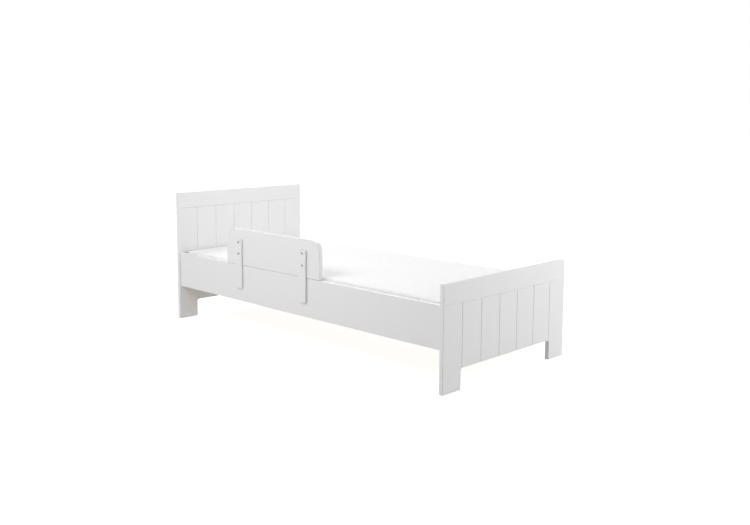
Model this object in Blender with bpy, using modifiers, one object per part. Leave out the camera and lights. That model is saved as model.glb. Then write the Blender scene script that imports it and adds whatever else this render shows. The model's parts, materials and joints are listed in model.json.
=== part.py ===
"""Toddler bed: grooved head and foot boards, side rails, slatted base, foam mattress and lift-off guard.

Metres, +Z up. The origin is on the floor in the middle of the bed; the headboard is at -X, the guard at -Y.
"""

import math

import bmesh
import bpy
from mathutils import Matrix, Vector

# ---------------------------------------------------------------- sizes
TOUCH = 0.0003  # space left between faces that touch
CUT_PAST = 0.001  # how far a cutter starts outside the face that it cuts

BAY_LENGTH = 1.620  # between the two boards
BOARD_WIDTH = 0.760
BOARD_THICKNESS = 0.018
HEADBOARD_HEIGHT = 0.605
FOOTBOARD_HEIGHT = 0.398
LEG_WIDTH = 0.101
LEG_HEIGHT = 0.080
ARCH_RADIUS = 0.009  # inner corners of the cut-out between the legs
TOP_CORNER_RADIUS = 0.007
FOOT_CORNER_RADIUS = 0.003
ARRIS = 0.0025  # rounding of a board's long edges

GROOVE_DEPTH = 0.002
GROOVES_DOWN = 6
GROOVE_PAST_LEG = 0.004  # outermost upright groove, inboard of the leg
HEAD_GROOVE_DROP = 0.073
FOOT_GROOVE_DROP = 0.079

RAIL_BOTTOM = 0.158
RAIL_HEIGHT = 0.161
RAIL_THICKNESS = 0.018
RAIL_INSET = 0.008  # from the boards' side edges

LEDGER_ABOVE_RAIL_BOTTOM = 0.0375  # ledger's top edge, where the slats lie
LEDGER_HEIGHT = 0.030
LEDGER_THICKNESS = 0.020
LEDGER_END_MARGIN = 0.060  # clears the corner fittings

SLAT_COUNT = 13
SLAT_WIDTH = 0.070
SLAT_THICKNESS = 0.018
SLAT_END_GAP = 0.004
SLAT_ROUNDING = 0.003
TAPE_WIDTH = 0.020
TAPE_THICKNESS = 0.0012
TAPE_FROM_SLAT_END = 0.100

MATTRESS_HEIGHT = 0.110
MATTRESS_HEAD_GAP = 0.002
MATTRESS_FOOT_GAP = 0.018
MATTRESS_BACK_GAP = 0.0045
MATTRESS_STRIP_GAP = 0.005  # to the guard's inner strips
MATTRESS_CORNER_RADIUS = 0.020
MATTRESS_EDGE_RADIUS = 0.010
COVER_WALL = 0.0025
ZIP_LENGTH = 0.560
ZIP_HEIGHT = 0.006

GUARD_LENGTH = 0.612
GUARD_HEIGHT = 0.158
GUARD_CENTRE_X = -0.1295
GUARD_CORNER_RADIUS = 0.046
GUARD_SLIP = 0.0005  # each side of the rail, so that the guard slides on
STRIP_WIDTH = 0.040
STRIP_ABOVE_SLATS = 0.0033
STRIP_THICKNESS = 0.008
STRIP_SPACING = 0.423
STRIP_TOP_DROP = 0.0425  # below the guard's top edge
STRIP_CORNER_RADIUS = 0.004
STRIP_ARRIS = 0.0015
GUARD_BOLT_DROP = 0.0140  # below the strip's top
GUARD_BOLT_PITCH = 0.0505

CAM_RADIUS = 0.0075
CAM_SETBACK = 0.034  # from the board's face
CAM_PAST_MIDDLE = 0.0045  # cam's depth beyond the rail's middle
CAM_SLOT_WIDTH = 0.0014
CAM_SLOT_DEPTH = 0.002
CAM_SLOT_TURN = math.radians(30)
THREAD_RADIUS = 0.003
THREAD_DEPTH = 0.0115
BOLT_BORE_RADIUS = 0.0038
CAM_HEAD_RADIUS = 0.0031
CAM_HEAD_HALF = 0.002  # half the length of the cam bolt's head
CAM_NECK_RADIUS = 0.0018
CAM_SHANK_RADIUS = 0.0025
CAM_COLLAR_LENGTH = 0.002
TIP_CHAMFER = 0.0008  # on the ends of dowels and threads
DOWEL_RADIUS = 0.004
DOWEL_IN_BOARD = 0.0105
DOWEL_IN_RAIL = 0.0225
DOWEL_FROM_RAIL_EDGE = 0.034

SCREW_RADIUS = 0.0018
SCREW_HEAD_RADIUS = 0.0036
SCREW_HEAD_HEIGHT = 0.0024
SCREW_RIM = 0.0002  # straight edge of the head above its cone
SCREW_SUNK = 0.0002
SCREW_BITE = 0.011  # length of a wood screw in the far piece
LEDGER_SCREWS = 6
LEDGER_SCREW_FROM_END = 0.090

HEAD_RADIUS = 0.0055  # guard bolt
HEAD_HEIGHT = 0.0022
HEAD_DOME = [(1.0, 0.55), (0.85, 0.88), (0.62, 1.0)]  # its rounding, in parts of its radius and height
SLEEVE_RADIUS = 0.004
SLEEVE_HEAD_RADIUS = 0.006
SLEEVE_SHORT = 0.0016  # from the sleeve's end to the outer strip
NUT_HEAD_HEIGHT = 0.0020
NUT_SUNK = 0.0002
BOLT_TIP_BACK = 0.0136  # from the bolt's tip to the inner strip's face
SOCKET_FLATS = 0.004
SOCKET_DEPTH = 0.0014

# ---------------------------------------------------------------- places worked out from the sizes
HEAD, FOOT = -1, 1
FRONT, BACK = -1, 1
RAIL_TOP = RAIL_BOTTOM + RAIL_HEIGHT
RAIL_Y = BOARD_WIDTH / 2 - RAIL_INSET - RAIL_THICKNESS / 2
BAY_HALF_WIDTH = RAIL_Y - RAIL_THICKNESS / 2
BAY_HALF_LENGTH = BAY_LENGTH / 2
LEDGER_TOP = RAIL_BOTTOM + LEDGER_ABOVE_RAIL_BOTTOM
LEDGER_LENGTH = BAY_LENGTH - 2 * LEDGER_END_MARGIN
LEDGER_Y = BAY_HALF_WIDTH - TOUCH - LEDGER_THICKNESS / 2
SLAT_Z = LEDGER_TOP + TOUCH + SLAT_THICKNESS / 2
SLAT_LENGTH = 2 * (BAY_HALF_WIDTH - SLAT_END_GAP)
SLAT_TOP = SLAT_Z + SLAT_THICKNESS / 2
TAPE_Y = SLAT_LENGTH / 2 - TAPE_FROM_SLAT_END
TAPE_Z = SLAT_Z - SLAT_THICKNESS / 2 - TOUCH - TAPE_THICKNESS / 2
MATTRESS_LENGTH = BAY_LENGTH - MATTRESS_HEAD_GAP - MATTRESS_FOOT_GAP
MATTRESS_FRONT = -BAY_HALF_WIDTH + GUARD_SLIP + TOUCH + STRIP_THICKNESS + MATTRESS_STRIP_GAP
MATTRESS_REAR = BAY_HALF_WIDTH - MATTRESS_BACK_GAP
MATTRESS_BOTTOM = SLAT_TOP + TOUCH
MATTRESS_CENTRE = Vector((
    (MATTRESS_HEAD_GAP - MATTRESS_FOOT_GAP) / 2,
    (MATTRESS_FRONT + MATTRESS_REAR) / 2,
    MATTRESS_BOTTOM + MATTRESS_HEIGHT / 2,
))
MATTRESS_SIZE = Vector((MATTRESS_LENGTH, MATTRESS_REAR - MATTRESS_FRONT, MATTRESS_HEIGHT))
GUARD_THICKNESS = RAIL_THICKNESS + 2 * GUARD_SLIP
GUARD_Y = -RAIL_Y
GUARD_BOTTOM = RAIL_TOP + TOUCH
GUARD_TOP = GUARD_BOTTOM + GUARD_HEIGHT
STRIP_TOP = GUARD_TOP - STRIP_TOP_DROP
STRIP_LENGTH = STRIP_TOP - SLAT_TOP - STRIP_ABOVE_SLATS
STRIP_OFFSET_Y = GUARD_THICKNESS / 2 + TOUCH + STRIP_THICKNESS / 2
STRIP_X = {"head": GUARD_CENTRE_X - STRIP_SPACING / 2, "foot": GUARD_CENTRE_X + STRIP_SPACING / 2}
STRIP_OUTER_FACE = GUARD_Y - STRIP_OFFSET_Y - STRIP_THICKNESS / 2
STRIP_INNER_FACE = GUARD_Y + STRIP_OFFSET_Y + STRIP_THICKNESS / 2
STACK = STRIP_INNER_FACE - STRIP_OUTER_FACE
SLEEVE_LENGTH = STACK - STRIP_THICKNESS - SLEEVE_SHORT
BOLT_REACH = STACK - BOLT_TIP_BACK
CAM_DEPTH = RAIL_THICKNESS / 2 + CAM_PAST_MIDDLE
CAM_HEIGHT = RAIL_BOTTOM + RAIL_HEIGHT / 2
DOWEL_HEIGHTS = {"lower": RAIL_BOTTOM + DOWEL_FROM_RAIL_EDGE, "upper": RAIL_TOP - DOWEL_FROM_RAIL_EDGE}
CORNERS = [(end, side) for end in (HEAD, FOOT) for side in (FRONT, BACK)]

POINTING = {  # turns a shape made along +Z
    "+X": Matrix.Rotation(math.pi / 2, 4, "Y"),
    "-X": Matrix.Rotation(-math.pi / 2, 4, "Y"),
    "+Y": Matrix.Rotation(-math.pi / 2, 4, "X"),
    "-Y": Matrix.Rotation(math.pi / 2, 4, "X"),
    "+Z": Matrix.Identity(4),
}

# ---------------------------------------------------------------- scene, collections, materials
for old in list(bpy.data.objects):
    bpy.data.objects.remove(old, do_unlink=True)


def new_collection(name):
    collection = bpy.data.collections.new(name)
    bpy.context.scene.collection.children.link(collection)
    return collection


bed = new_collection("toddler_bed")
cutters = new_collection("cutters")
cutters.hide_render = True


def new_material(name, colour, roughness, metallic=0.0):
    material = bpy.data.materials.new(name)
    material.use_nodes = True
    surface = material.node_tree.nodes["Principled BSDF"]
    surface.inputs["Base Color"].default_value = (*colour, 1.0)
    surface.inputs["Roughness"].default_value = roughness
    surface.inputs["Metallic"].default_value = metallic
    material.diffuse_color = (*colour, 1.0)
    return material


white_lacquer = new_material("white_lacquered_board", (0.82, 0.82, 0.82), 0.35)
pine = new_material("pine", (0.72, 0.53, 0.32), 0.6)
beech = new_material("beech", (0.68, 0.48, 0.30), 0.6)
zinc = new_material("zinc", (0.55, 0.55, 0.56), 0.4, 0.9)
steel = new_material("steel", (0.60, 0.60, 0.61), 0.3, 1.0)
nickel = new_material("nickel", (0.60, 0.59, 0.57), 0.2, 1.0)
webbing = new_material("webbing", (0.75, 0.74, 0.70), 0.9)
cover_knit = new_material("cover_knit", (0.88, 0.88, 0.88), 0.9)
zip_nylon = new_material("zip_nylon", (0.80, 0.80, 0.80), 0.5)
foam = new_material("foam", (0.85, 0.82, 0.66), 0.95)


# ---------------------------------------------------------------- shapes
def box(size):
    shape = bmesh.new()
    bmesh.ops.create_cube(shape, size=1.0, matrix=Matrix.Diagonal((*size, 1.0)))
    return shape


def runs_along(edge, axis):
    span = edge.verts[1].co - edge.verts[0].co
    return abs(span.normalized()["XYZ".index(axis)]) > 0.999


def round_edges(shape, axes, radius, steps):
    """Rounds the straight edges that run along these axes."""
    edges = [edge for edge in shape.edges if any(runs_along(edge, axis) for axis in axes)]
    bmesh.ops.bevel(
        shape, geom=edges, offset=radius, offset_type="OFFSET", segments=steps, profile=0.5,
        affect="EDGES", clamp_overlap=False, material=-1,
    )
    return shape


def bar(size, axes, radius, steps=2):
    return round_edges(box(size), axes, radius, steps)


def pillow(size, corner_radius, edge_radius):
    """A block with round upright corners and rounded top and bottom rims."""
    shape = bar(size, "Z", corner_radius, 4)
    half = size[2] / 2
    rims = [edge for edge in shape.edges if all(abs(abs(vert.co.z) - half) < 1e-6 for vert in edge.verts)]
    bmesh.ops.bevel(
        shape, geom=rims, offset=edge_radius, offset_type="OFFSET", segments=2, profile=0.5,
        affect="EDGES", clamp_overlap=False, material=-1,
    )
    return shape


def rod(radius, start, direction, length, sides=16):
    """A cylinder from a point, along a direction such as "+X"."""
    shape = bmesh.new()
    bmesh.ops.create_cone(
        shape, cap_ends=True, segments=sides, radius1=radius, radius2=radius, depth=length,
        matrix=Matrix.Translation((0, 0, length / 2)),
    )
    shape.transform(Matrix.Translation(start) @ POINTING[direction])
    return shape


def gathered(shapes):
    """Several shapes in one, each still a body of its own."""
    whole = bmesh.new()
    for shape in shapes:
        mesh = bpy.data.meshes.new("piece")
        shape.to_mesh(mesh)
        shape.free()
        whole.from_mesh(mesh)
        bpy.data.meshes.remove(mesh)
    return whole


def copied(mesh, places):
    """One mesh repeated at each of these matrices."""
    shapes = []
    for place in places:
        shape = bmesh.new()
        shape.from_mesh(mesh)
        shape.transform(place)
        shapes.append(shape)
    return gathered(shapes)


def evaluated_mesh(helper):
    """The finished mesh of a curve or of an object with modifiers; the helper is removed."""
    bpy.context.view_layer.update()
    graph = bpy.context.evaluated_depsgraph_get()
    mesh = bpy.data.meshes.new_from_object(helper.evaluated_get(graph), depsgraph=graph)
    bpy.data.objects.remove(helper, do_unlink=True)
    return mesh


def turned(profile, steps=12):
    """A mesh turned about Z from (radius, height) points that run from the top down."""
    outline = bmesh.new()
    points = [outline.verts.new((radius, 0, height)) for radius, height in profile]
    for upper, lower in zip(points, points[1:]):
        outline.edges.new((upper, lower))
    mesh = bpy.data.meshes.new("profile")
    outline.to_mesh(mesh)
    outline.free()
    helper = bpy.data.objects.new("profile", mesh)
    cutters.objects.link(helper)
    screw = helper.modifiers.new("turn", "SCREW")
    screw.steps = screw.render_steps = steps
    screw.use_merge_vertices = True
    screw.merge_threshold = 0.0001
    return evaluated_mesh(helper)


def rounded_outline(corners, steps):
    """Points of a closed outline; each right-angled corner is (x, y, radius)."""
    points = []
    for index, (x, y, radius) in enumerate(corners):
        here = Vector((x, y))
        back = (Vector(corners[index - 1][:2]) - here).normalized()
        ahead = (Vector(corners[(index + 1) % len(corners)][:2]) - here).normalized()
        centre = here + (back + ahead) * radius
        for step in range(steps + 1):
            turn = math.pi / 2 * step / steps
            points.append(centre - ahead * radius * math.cos(turn) - back * radius * math.sin(turn))
    return points


def flat_board(corners, thickness, steps):
    """A flat solid in the XY plane, half its thickness to either side."""
    curve = bpy.data.curves.new("outline", "CURVE")
    curve.dimensions = "2D"
    curve.fill_mode = "BOTH"
    curve.extrude = thickness / 2
    points = rounded_outline(corners, steps)
    spline = curve.splines.new("POLY")
    spline.points.add(len(points) - 1)
    for target, point in zip(spline.points, points):
        target.co = (point.x, point.y, 0, 1)
    spline.use_cyclic_u = True
    helper = bpy.data.objects.new("outline", curve)
    cutters.objects.link(helper)
    shape = bmesh.new()
    shape.from_mesh(evaluated_mesh(helper))
    bpy.data.curves.remove(curve)
    bmesh.ops.remove_doubles(shape, verts=shape.verts, dist=0.00001)
    bmesh.ops.dissolve_limit(shape, angle_limit=0.001, verts=shape.verts, edges=shape.edges)
    bmesh.ops.recalc_face_normals(shape, faces=shape.faces)
    return shape


# ---------------------------------------------------------------- objects
def new_object(name, shape, collection, location=(0, 0, 0)):
    mesh = bpy.data.meshes.new(name)
    shape.to_mesh(mesh)
    shape.free()
    thing = bpy.data.objects.new(name, mesh)
    collection.objects.link(thing)
    thing.location = location
    return thing


def part(name, shape, material, location=(0, 0, 0), parent=None):
    """A piece of the bed; a moving piece hangs on its parent's origin."""
    thing = new_object(name, shape, bed, location)
    thing.data.materials.append(material)
    thing.data.shade_smooth()
    thing.data.set_sharp_from_angle(angle=math.radians(35))
    if parent:
        thing.parent = parent
        thing.location = Vector(location) - parent.location
    return thing


def copy_of(mesh, name, material, place, parent=None):
    """One more object that shares a mesh, at this world matrix."""
    if not mesh.materials:
        mesh.materials.append(material)
        mesh.shade_smooth()
        mesh.set_sharp_from_angle(angle=math.radians(35))
    thing = bpy.data.objects.new(name, mesh)
    bed.objects.link(thing)
    thing.parent = parent
    thing.matrix_basis = (Matrix.Translation(-parent.location) if parent else Matrix.Identity(4)) @ place
    return thing


def cutter(name, shape):
    thing = new_object(name, shape, cutters)
    thing.hide_render = True
    thing.display_type = "WIRE"
    return thing


def cut(host, tool, operation="DIFFERENCE"):
    boolean = host.modifiers.new(tool.name, "BOOLEAN")
    boolean.operation = operation
    boolean.solver = "EXACT"
    boolean.object = tool


def soften(host, width, steps):
    bevel = host.modifiers.new("soft_edges", "BEVEL")
    bevel.width = width
    bevel.segments = steps
    bevel.limit_method = "ANGLE"
    bevel.angle_limit = math.radians(50)
    bevel.use_clamp_overlap = False


def origin_at(name, location):
    empty = bpy.data.objects.new(name, None)
    empty.empty_display_size = 0.05
    empty.location = location
    bed.objects.link(empty)
    return empty


# ---------------------------------------------------------------- head and foot boards
def board_outline(height):
    half = BOARD_WIDTH / 2
    inner = half - LEG_WIDTH
    return [
        (-half, 0, FOOT_CORNER_RADIUS), (-inner, 0, FOOT_CORNER_RADIUS),
        (-inner, LEG_HEIGHT, ARCH_RADIUS), (inner, LEG_HEIGHT, ARCH_RADIUS),
        (inner, 0, FOOT_CORNER_RADIUS), (half, 0, FOOT_CORNER_RADIUS),
        (half, height, TOP_CORNER_RADIUS), (-half, height, TOP_CORNER_RADIUS),
    ]


def groove_cutters(name, face_x, groove_height):
    """Square bars set on edge: one across the board and a row down to the cut-out."""
    past = 10 * CUT_PAST
    side_edge = -BOARD_WIDTH / 2 - past
    across = rod(GROOVE_DEPTH, (face_x, side_edge, groove_height), "+Y", BOARD_WIDTH + 2 * past, 4)
    outermost = BOARD_WIDTH / 2 - LEG_WIDTH - GROOVE_PAST_LEG
    pitch = 2 * outermost / (GROOVES_DOWN - 1)
    down = []
    for index in range(GROOVES_DOWN):
        foot = (face_x, -outermost + index * pitch, LEG_HEIGHT - past)
        down.append(rod(GROOVE_DEPTH, foot, "+Z", groove_height - foot[2], 4))
    return cutter(name + "_across", across), cutter(name + "_down", gathered(down))


def end_board(name, end, height, groove_drop, grooved_face):
    x = end * (BAY_HALF_LENGTH + BOARD_THICKNESS / 2)
    board = part(name, flat_board(board_outline(height), BOARD_THICKNESS, 4), white_lacquer, (x, 0, 0))
    board.rotation_euler = (math.pi / 2, 0, math.pi / 2)
    soften(board, ARRIS, 3)
    face_x = x + grooved_face * BOARD_THICKNESS / 2
    for tool in groove_cutters(name + "_grooves", face_x, height - groove_drop):
        cut(board, tool)
    return board


boards = [
    end_board("headboard", HEAD, HEADBOARD_HEIGHT, HEAD_GROOVE_DROP, FOOT),
    end_board("footboard", FOOT, FOOTBOARD_HEIGHT, FOOT_GROOVE_DROP, FOOT),
]

# ---------------------------------------------------------------- side rails
rails = {}
for side, name in ((FRONT, "side_rail_front"), (BACK, "side_rail_back")):
    size = (BAY_LENGTH - 2 * TOUCH, RAIL_THICKNESS, RAIL_HEIGHT)
    middle = (0, side * RAIL_Y, RAIL_BOTTOM + RAIL_HEIGHT / 2)
    rails[side] = part(name, bar(size, "X", ARRIS, 3), white_lacquer, middle)


# ---------------------------------------------------------------- corner fittings: cams, cam bolts, dowels
def from_board(end):
    """The direction from a board's inner face into the rail."""
    return "-X" if end == FOOT else "+X"


def into_board(end):
    return "+X" if end == FOOT else "-X"


def into_rail(side):
    """The direction from a rail's inner face into its thickness."""
    return "+Y" if side == BACK else "-Y"


def joint_place(end, side, height, into=0.0):
    """Where a fitting crosses the joint, in the middle of the rail and this far into the board."""
    return Vector((end * (BAY_HALF_LENGTH + into), side * RAIL_Y, height))


def cam_face(end, side, depth=0.0):
    """The middle of a cam's face, this far into the rail."""
    return Vector((end * (BAY_HALF_LENGTH - CAM_SETBACK), side * (BAY_HALF_WIDTH + depth), CAM_HEIGHT))


bolt_bores = cutter("bolt_bores", gathered([
    rod(BOLT_BORE_RADIUS, joint_place(end, side, CAM_HEIGHT), from_board(end),
        CAM_SETBACK + CAM_PAST_MIDDLE, 14)
    for end, side in CORNERS
]))
thread_holes = cutter("thread_holes", gathered([
    rod(THREAD_RADIUS + TOUCH, joint_place(end, side, CAM_HEIGHT, -CUT_PAST), into_board(end),
        CUT_PAST + THREAD_DEPTH + TOUCH, 12)
    for end, side in CORNERS
]))
dowel_holes = cutter("dowel_holes", gathered([
    rod(DOWEL_RADIUS + TOUCH, joint_place(end, side, height, DOWEL_IN_BOARD + TOUCH), from_board(end),
        DOWEL_IN_BOARD + DOWEL_IN_RAIL + 2 * TOUCH, 12)
    for end, side in CORNERS for height in DOWEL_HEIGHTS.values()
]))
cam_pockets = cutter("cam_pockets", gathered([
    rod(CAM_RADIUS + TOUCH, cam_face(end, side, -CUT_PAST), into_rail(side),
        CUT_PAST + CAM_DEPTH + 2 * TOUCH, 20)
    for end, side in CORNERS
]))

for board in boards:
    cut(board, thread_holes)
    cut(board, dowel_holes)
for rail in rails.values():
    cut(rail, cam_pockets)
    cut(rail, bolt_bores)
    cut(rail, dowel_holes)

slot_shapes = []
for end, side in CORNERS:
    shape = box((CAM_SLOT_WIDTH, 2 * CAM_SLOT_DEPTH, CAM_RADIUS * 1.3))
    shape.transform(Matrix.Translation(cam_face(end, side, TOUCH)) @ Matrix.Rotation(CAM_SLOT_TURN, 4, "Y"))
    slot_shapes.append(shape)
cam_slots = cutter("cam_slots", gathered(slot_shapes))

CAM_COLLAR_RADIUS = BOLT_BORE_RADIUS - TOUCH
cam_bolt_mesh = turned([
    (0, CAM_SETBACK + CAM_HEAD_HALF),
    (CAM_HEAD_RADIUS, CAM_SETBACK + CAM_HEAD_HALF),
    (CAM_HEAD_RADIUS, CAM_SETBACK - CAM_HEAD_HALF),
    (CAM_NECK_RADIUS, CAM_SETBACK - CAM_HEAD_HALF),
    (CAM_NECK_RADIUS, CAM_SETBACK - 3 * CAM_HEAD_HALF),
    (CAM_SHANK_RADIUS, CAM_SETBACK - 4 * CAM_HEAD_HALF),
    (CAM_SHANK_RADIUS, CAM_COLLAR_LENGTH + TIP_CHAMFER),
    (CAM_COLLAR_RADIUS, CAM_COLLAR_LENGTH),
    (CAM_COLLAR_RADIUS, TOUCH),
    (THREAD_RADIUS, TOUCH),
    (THREAD_RADIUS, -THREAD_DEPTH + TIP_CHAMFER),
    (THREAD_RADIUS - TIP_CHAMFER, -THREAD_DEPTH),
    (0, -THREAD_DEPTH),
])
dowel_mesh = turned([
    (0, DOWEL_IN_RAIL),
    (DOWEL_RADIUS - TIP_CHAMFER, DOWEL_IN_RAIL),
    (DOWEL_RADIUS, DOWEL_IN_RAIL - TIP_CHAMFER),
    (DOWEL_RADIUS, -DOWEL_IN_BOARD + TIP_CHAMFER),
    (DOWEL_RADIUS - TIP_CHAMFER, -DOWEL_IN_BOARD),
    (0, -DOWEL_IN_BOARD),
])

for end, side in CORNERS:
    corner = ("foot" if end == FOOT else "head") + ("_back" if side == BACK else "_front")
    drum = rod(CAM_RADIUS, cam_face(end, side, TOUCH), into_rail(side), CAM_DEPTH, 20)
    cam = part(f"cam_lock_{corner}", drum, zinc)
    cut(cam, bolt_bores)
    cut(cam, cam_slots)
    turn = POINTING[from_board(end)]
    bolt_place = Matrix.Translation(joint_place(end, side, CAM_HEIGHT)) @ turn
    copy_of(cam_bolt_mesh, f"cam_bolt_{corner}", steel, bolt_place)
    for level, height in DOWEL_HEIGHTS.items():
        dowel_place = Matrix.Translation(joint_place(end, side, height)) @ turn
        copy_of(dowel_mesh, f"dowel_{corner}_{level}", beech, dowel_place)


# ---------------------------------------------------------------- slat ledgers and their screws
def screw_profile(length, spare=0.0, rise=0.0):
    """A countersunk screw that points down from its flat head, or its hole with this much spare room."""
    head = SCREW_HEAD_RADIUS + spare
    shank = SCREW_RADIUS + spare
    return [
        (0, rise),
        (head, rise),
        (head, -SCREW_RIM),
        (shank, -SCREW_HEAD_HEIGHT - spare),
        (shank, -length + SCREW_RADIUS - spare),
        (0, -length - spare),
    ]


def screw_holes(name, places, length):
    return cutter(name, copied(turned(screw_profile(length, TOUCH, CUT_PAST)), places))


ledgers = {}
for side, name in ((FRONT, "slat_ledger_front"), (BACK, "slat_ledger_back")):
    size = (LEDGER_LENGTH, LEDGER_THICKNESS, LEDGER_HEIGHT)
    middle = (0, side * LEDGER_Y, LEDGER_TOP - LEDGER_HEIGHT / 2)
    ledgers[side] = part(name, bar(size, "X", SLAT_ROUNDING / 2, 1), pine, middle)
    holes = [
        Matrix.Translation((
            (index / (LEDGER_SCREWS - 1) - 0.5) * (LEDGER_LENGTH - 2 * LEDGER_SCREW_FROM_END),
            side * (LEDGER_Y - LEDGER_THICKNESS / 2),
            LEDGER_TOP - LEDGER_HEIGHT / 2,
        )) @ POINTING[into_rail(-side)]
        for index in range(LEDGER_SCREWS)
    ]
    cut(ledgers[side], screw_holes(name + "_holes", holes, LEDGER_THICKNESS + SCREW_BITE))

# ---------------------------------------------------------------- slats, their screws and tapes
slat_pitch = (LEDGER_LENGTH - SLAT_WIDTH) / (SLAT_COUNT - 1)
slat_places = [-(LEDGER_LENGTH - SLAT_WIDTH) / 2 + index * slat_pitch for index in range(SLAT_COUNT)]
slats = []
for index, x in enumerate(slat_places):
    shape = bar((SLAT_WIDTH, SLAT_LENGTH, SLAT_THICKNESS), "Y", SLAT_ROUNDING, 2)
    slats.append(part(f"slat_{index + 1:02d}", shape, pine, (x, 0, SLAT_Z)))

screw_length = SLAT_THICKNESS + SCREW_BITE
slat_screw_mesh = turned(screw_profile(screw_length))
slat_screw_places = []
for index in (0, SLAT_COUNT // 2, SLAT_COUNT - 1):
    for side, where in ((FRONT, "front"), (BACK, "back")):
        spot = Vector((slat_places[index], side * LEDGER_Y, SLAT_TOP))
        slat_screw_places.append(Matrix.Translation(spot))
        sunk = Matrix.Translation(spot - Vector((0, 0, SCREW_SUNK)))
        copy_of(slat_screw_mesh, f"slat_screw_{index + 1:02d}_{where}", steel, sunk)
slat_holes = screw_holes("slat_screw_holes", slat_screw_places, screw_length)
for host in (*ledgers.values(), slats[0], slats[SLAT_COUNT // 2], slats[-1]):
    cut(host, slat_holes)

tape_length = LEDGER_LENGTH - 2 * SLAT_ROUNDING
for side, name in ((FRONT, "slat_tape_front"), (BACK, "slat_tape_back")):
    part(name, box((tape_length, TAPE_WIDTH, TAPE_THICKNESS)), webbing, (0, side * TAPE_Y, TAPE_Z))

# ---------------------------------------------------------------- mattress: foam core, cover, zip
mattress_origin = origin_at("mattress_origin", (MATTRESS_CENTRE.x, MATTRESS_CENTRE.y, MATTRESS_BOTTOM))
hollow_size = MATTRESS_SIZE - Vector((1, 1, 1)) * 2 * COVER_WALL
core_size = hollow_size - Vector((1, 1, 1)) * 2 * TOUCH
zip_x = MATTRESS_LENGTH / 2

mattress_cover = part(
    "mattress_cover", pillow(MATTRESS_SIZE, MATTRESS_CORNER_RADIUS, MATTRESS_EDGE_RADIUS),
    cover_knit, MATTRESS_CENTRE, mattress_origin,
)
hollow = cutter("cover_hollow", pillow(
    hollow_size, MATTRESS_CORNER_RADIUS - COVER_WALL, MATTRESS_EDGE_RADIUS - COVER_WALL
))
hollow.location = MATTRESS_CENTRE
zip_opening = cutter("zip_opening", box((4 * COVER_WALL, ZIP_LENGTH, ZIP_HEIGHT)))
zip_opening.location = MATTRESS_CENTRE + Vector((zip_x, 0, 0))
cut(hollow, zip_opening, "UNION")
cut(mattress_cover, hollow)

part(
    "mattress_core", pillow(
        core_size, MATTRESS_CORNER_RADIUS - COVER_WALL - TOUCH, MATTRESS_EDGE_RADIUS - COVER_WALL - TOUCH
    ), foam, MATTRESS_CENTRE, mattress_origin,
)
part(
    "mattress_zip", box((COVER_WALL, ZIP_LENGTH - 2 * TOUCH, ZIP_HEIGHT - 2 * TOUCH)), zip_nylon,
    MATTRESS_CENTRE + Vector((zip_x - COVER_WALL / 2, 0, 0)), mattress_origin,
)

# ---------------------------------------------------------------- lift-off guard
guard_origin = origin_at("guard_origin", (GUARD_CENTRE_X, GUARD_Y, GUARD_BOTTOM))


def upright_board(name, corners, thickness, arris, steps, middle):
    """A flat board whose outline stands in the XZ plane."""
    board = part(name, flat_board(corners, thickness, steps), white_lacquer, middle, guard_origin)
    board.rotation_euler = (math.pi / 2, 0, 0)
    soften(board, arris, 2)
    return board


guard_corners = [
    (-GUARD_LENGTH / 2, 0, FOOT_CORNER_RADIUS),
    (GUARD_LENGTH / 2, 0, FOOT_CORNER_RADIUS),
    (GUARD_LENGTH / 2, GUARD_HEIGHT, GUARD_CORNER_RADIUS),
    (-GUARD_LENGTH / 2, GUARD_HEIGHT, GUARD_CORNER_RADIUS),
]
guard_panel = upright_board(
    "guard_panel", guard_corners, GUARD_THICKNESS, ARRIS, 8, (GUARD_CENTRE_X, GUARD_Y, GUARD_BOTTOM)
)

strip_corners = [
    (x * STRIP_WIDTH / 2, z * STRIP_LENGTH, STRIP_CORNER_RADIUS)
    for x, z in ((-1, -1), (1, -1), (1, 0), (-1, 0))
]
outer_strips = []
inner_strips = []
for where, x in STRIP_X.items():
    for face, strips in ((FRONT, outer_strips), (BACK, inner_strips)):
        name = f"guard_strip_{'outer' if face == FRONT else 'inner'}_{where}"
        middle = (x, GUARD_Y + face * STRIP_OFFSET_Y, STRIP_TOP)
        strips.append(upright_board(name, strip_corners, STRIP_THICKNESS, STRIP_ARRIS, 3, middle))

# ---------------------------------------------------------------- guard bolts and sleeve nuts
guard_bolt_mesh = turned([
    (0, BOLT_REACH),
    (THREAD_RADIUS - TIP_CHAMFER, BOLT_REACH),
    (THREAD_RADIUS, BOLT_REACH - TIP_CHAMFER),
    (THREAD_RADIUS, -TOUCH),
    (HEAD_RADIUS, -TOUCH),
    *((HEAD_RADIUS * across, -HEAD_HEIGHT * up) for across, up in HEAD_DOME),
    (0, -HEAD_HEIGHT),
], 20)
sleeve_bore = THREAD_RADIUS + TOUCH
nut_head_end = NUT_SUNK + NUT_HEAD_HEIGHT
sleeve_mesh = turned([
    (sleeve_bore, SLEEVE_LENGTH),
    (SLEEVE_RADIUS, SLEEVE_LENGTH),
    (SLEEVE_RADIUS, nut_head_end),
    (SLEEVE_HEAD_RADIUS, nut_head_end),
    (SLEEVE_HEAD_RADIUS, NUT_SUNK),
    (sleeve_bore, NUT_SUNK),
    (sleeve_bore, SLEEVE_LENGTH),
], 16)

bolt_spots = [
    (f"{where}_{level}", x, STRIP_TOP - GUARD_BOLT_DROP - row * GUARD_BOLT_PITCH)
    for where, x in STRIP_X.items() for row, level in enumerate(("upper", "lower"))
]


def bolt_bores_of(name, radius, start_y, direction, length, sides=16):
    """One rod at each guard bolt, as a cutter."""
    rods = [rod(radius, (x, start_y, z), direction, length, sides) for _, x, z in bolt_spots]
    return cutter(name, gathered(rods))


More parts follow.
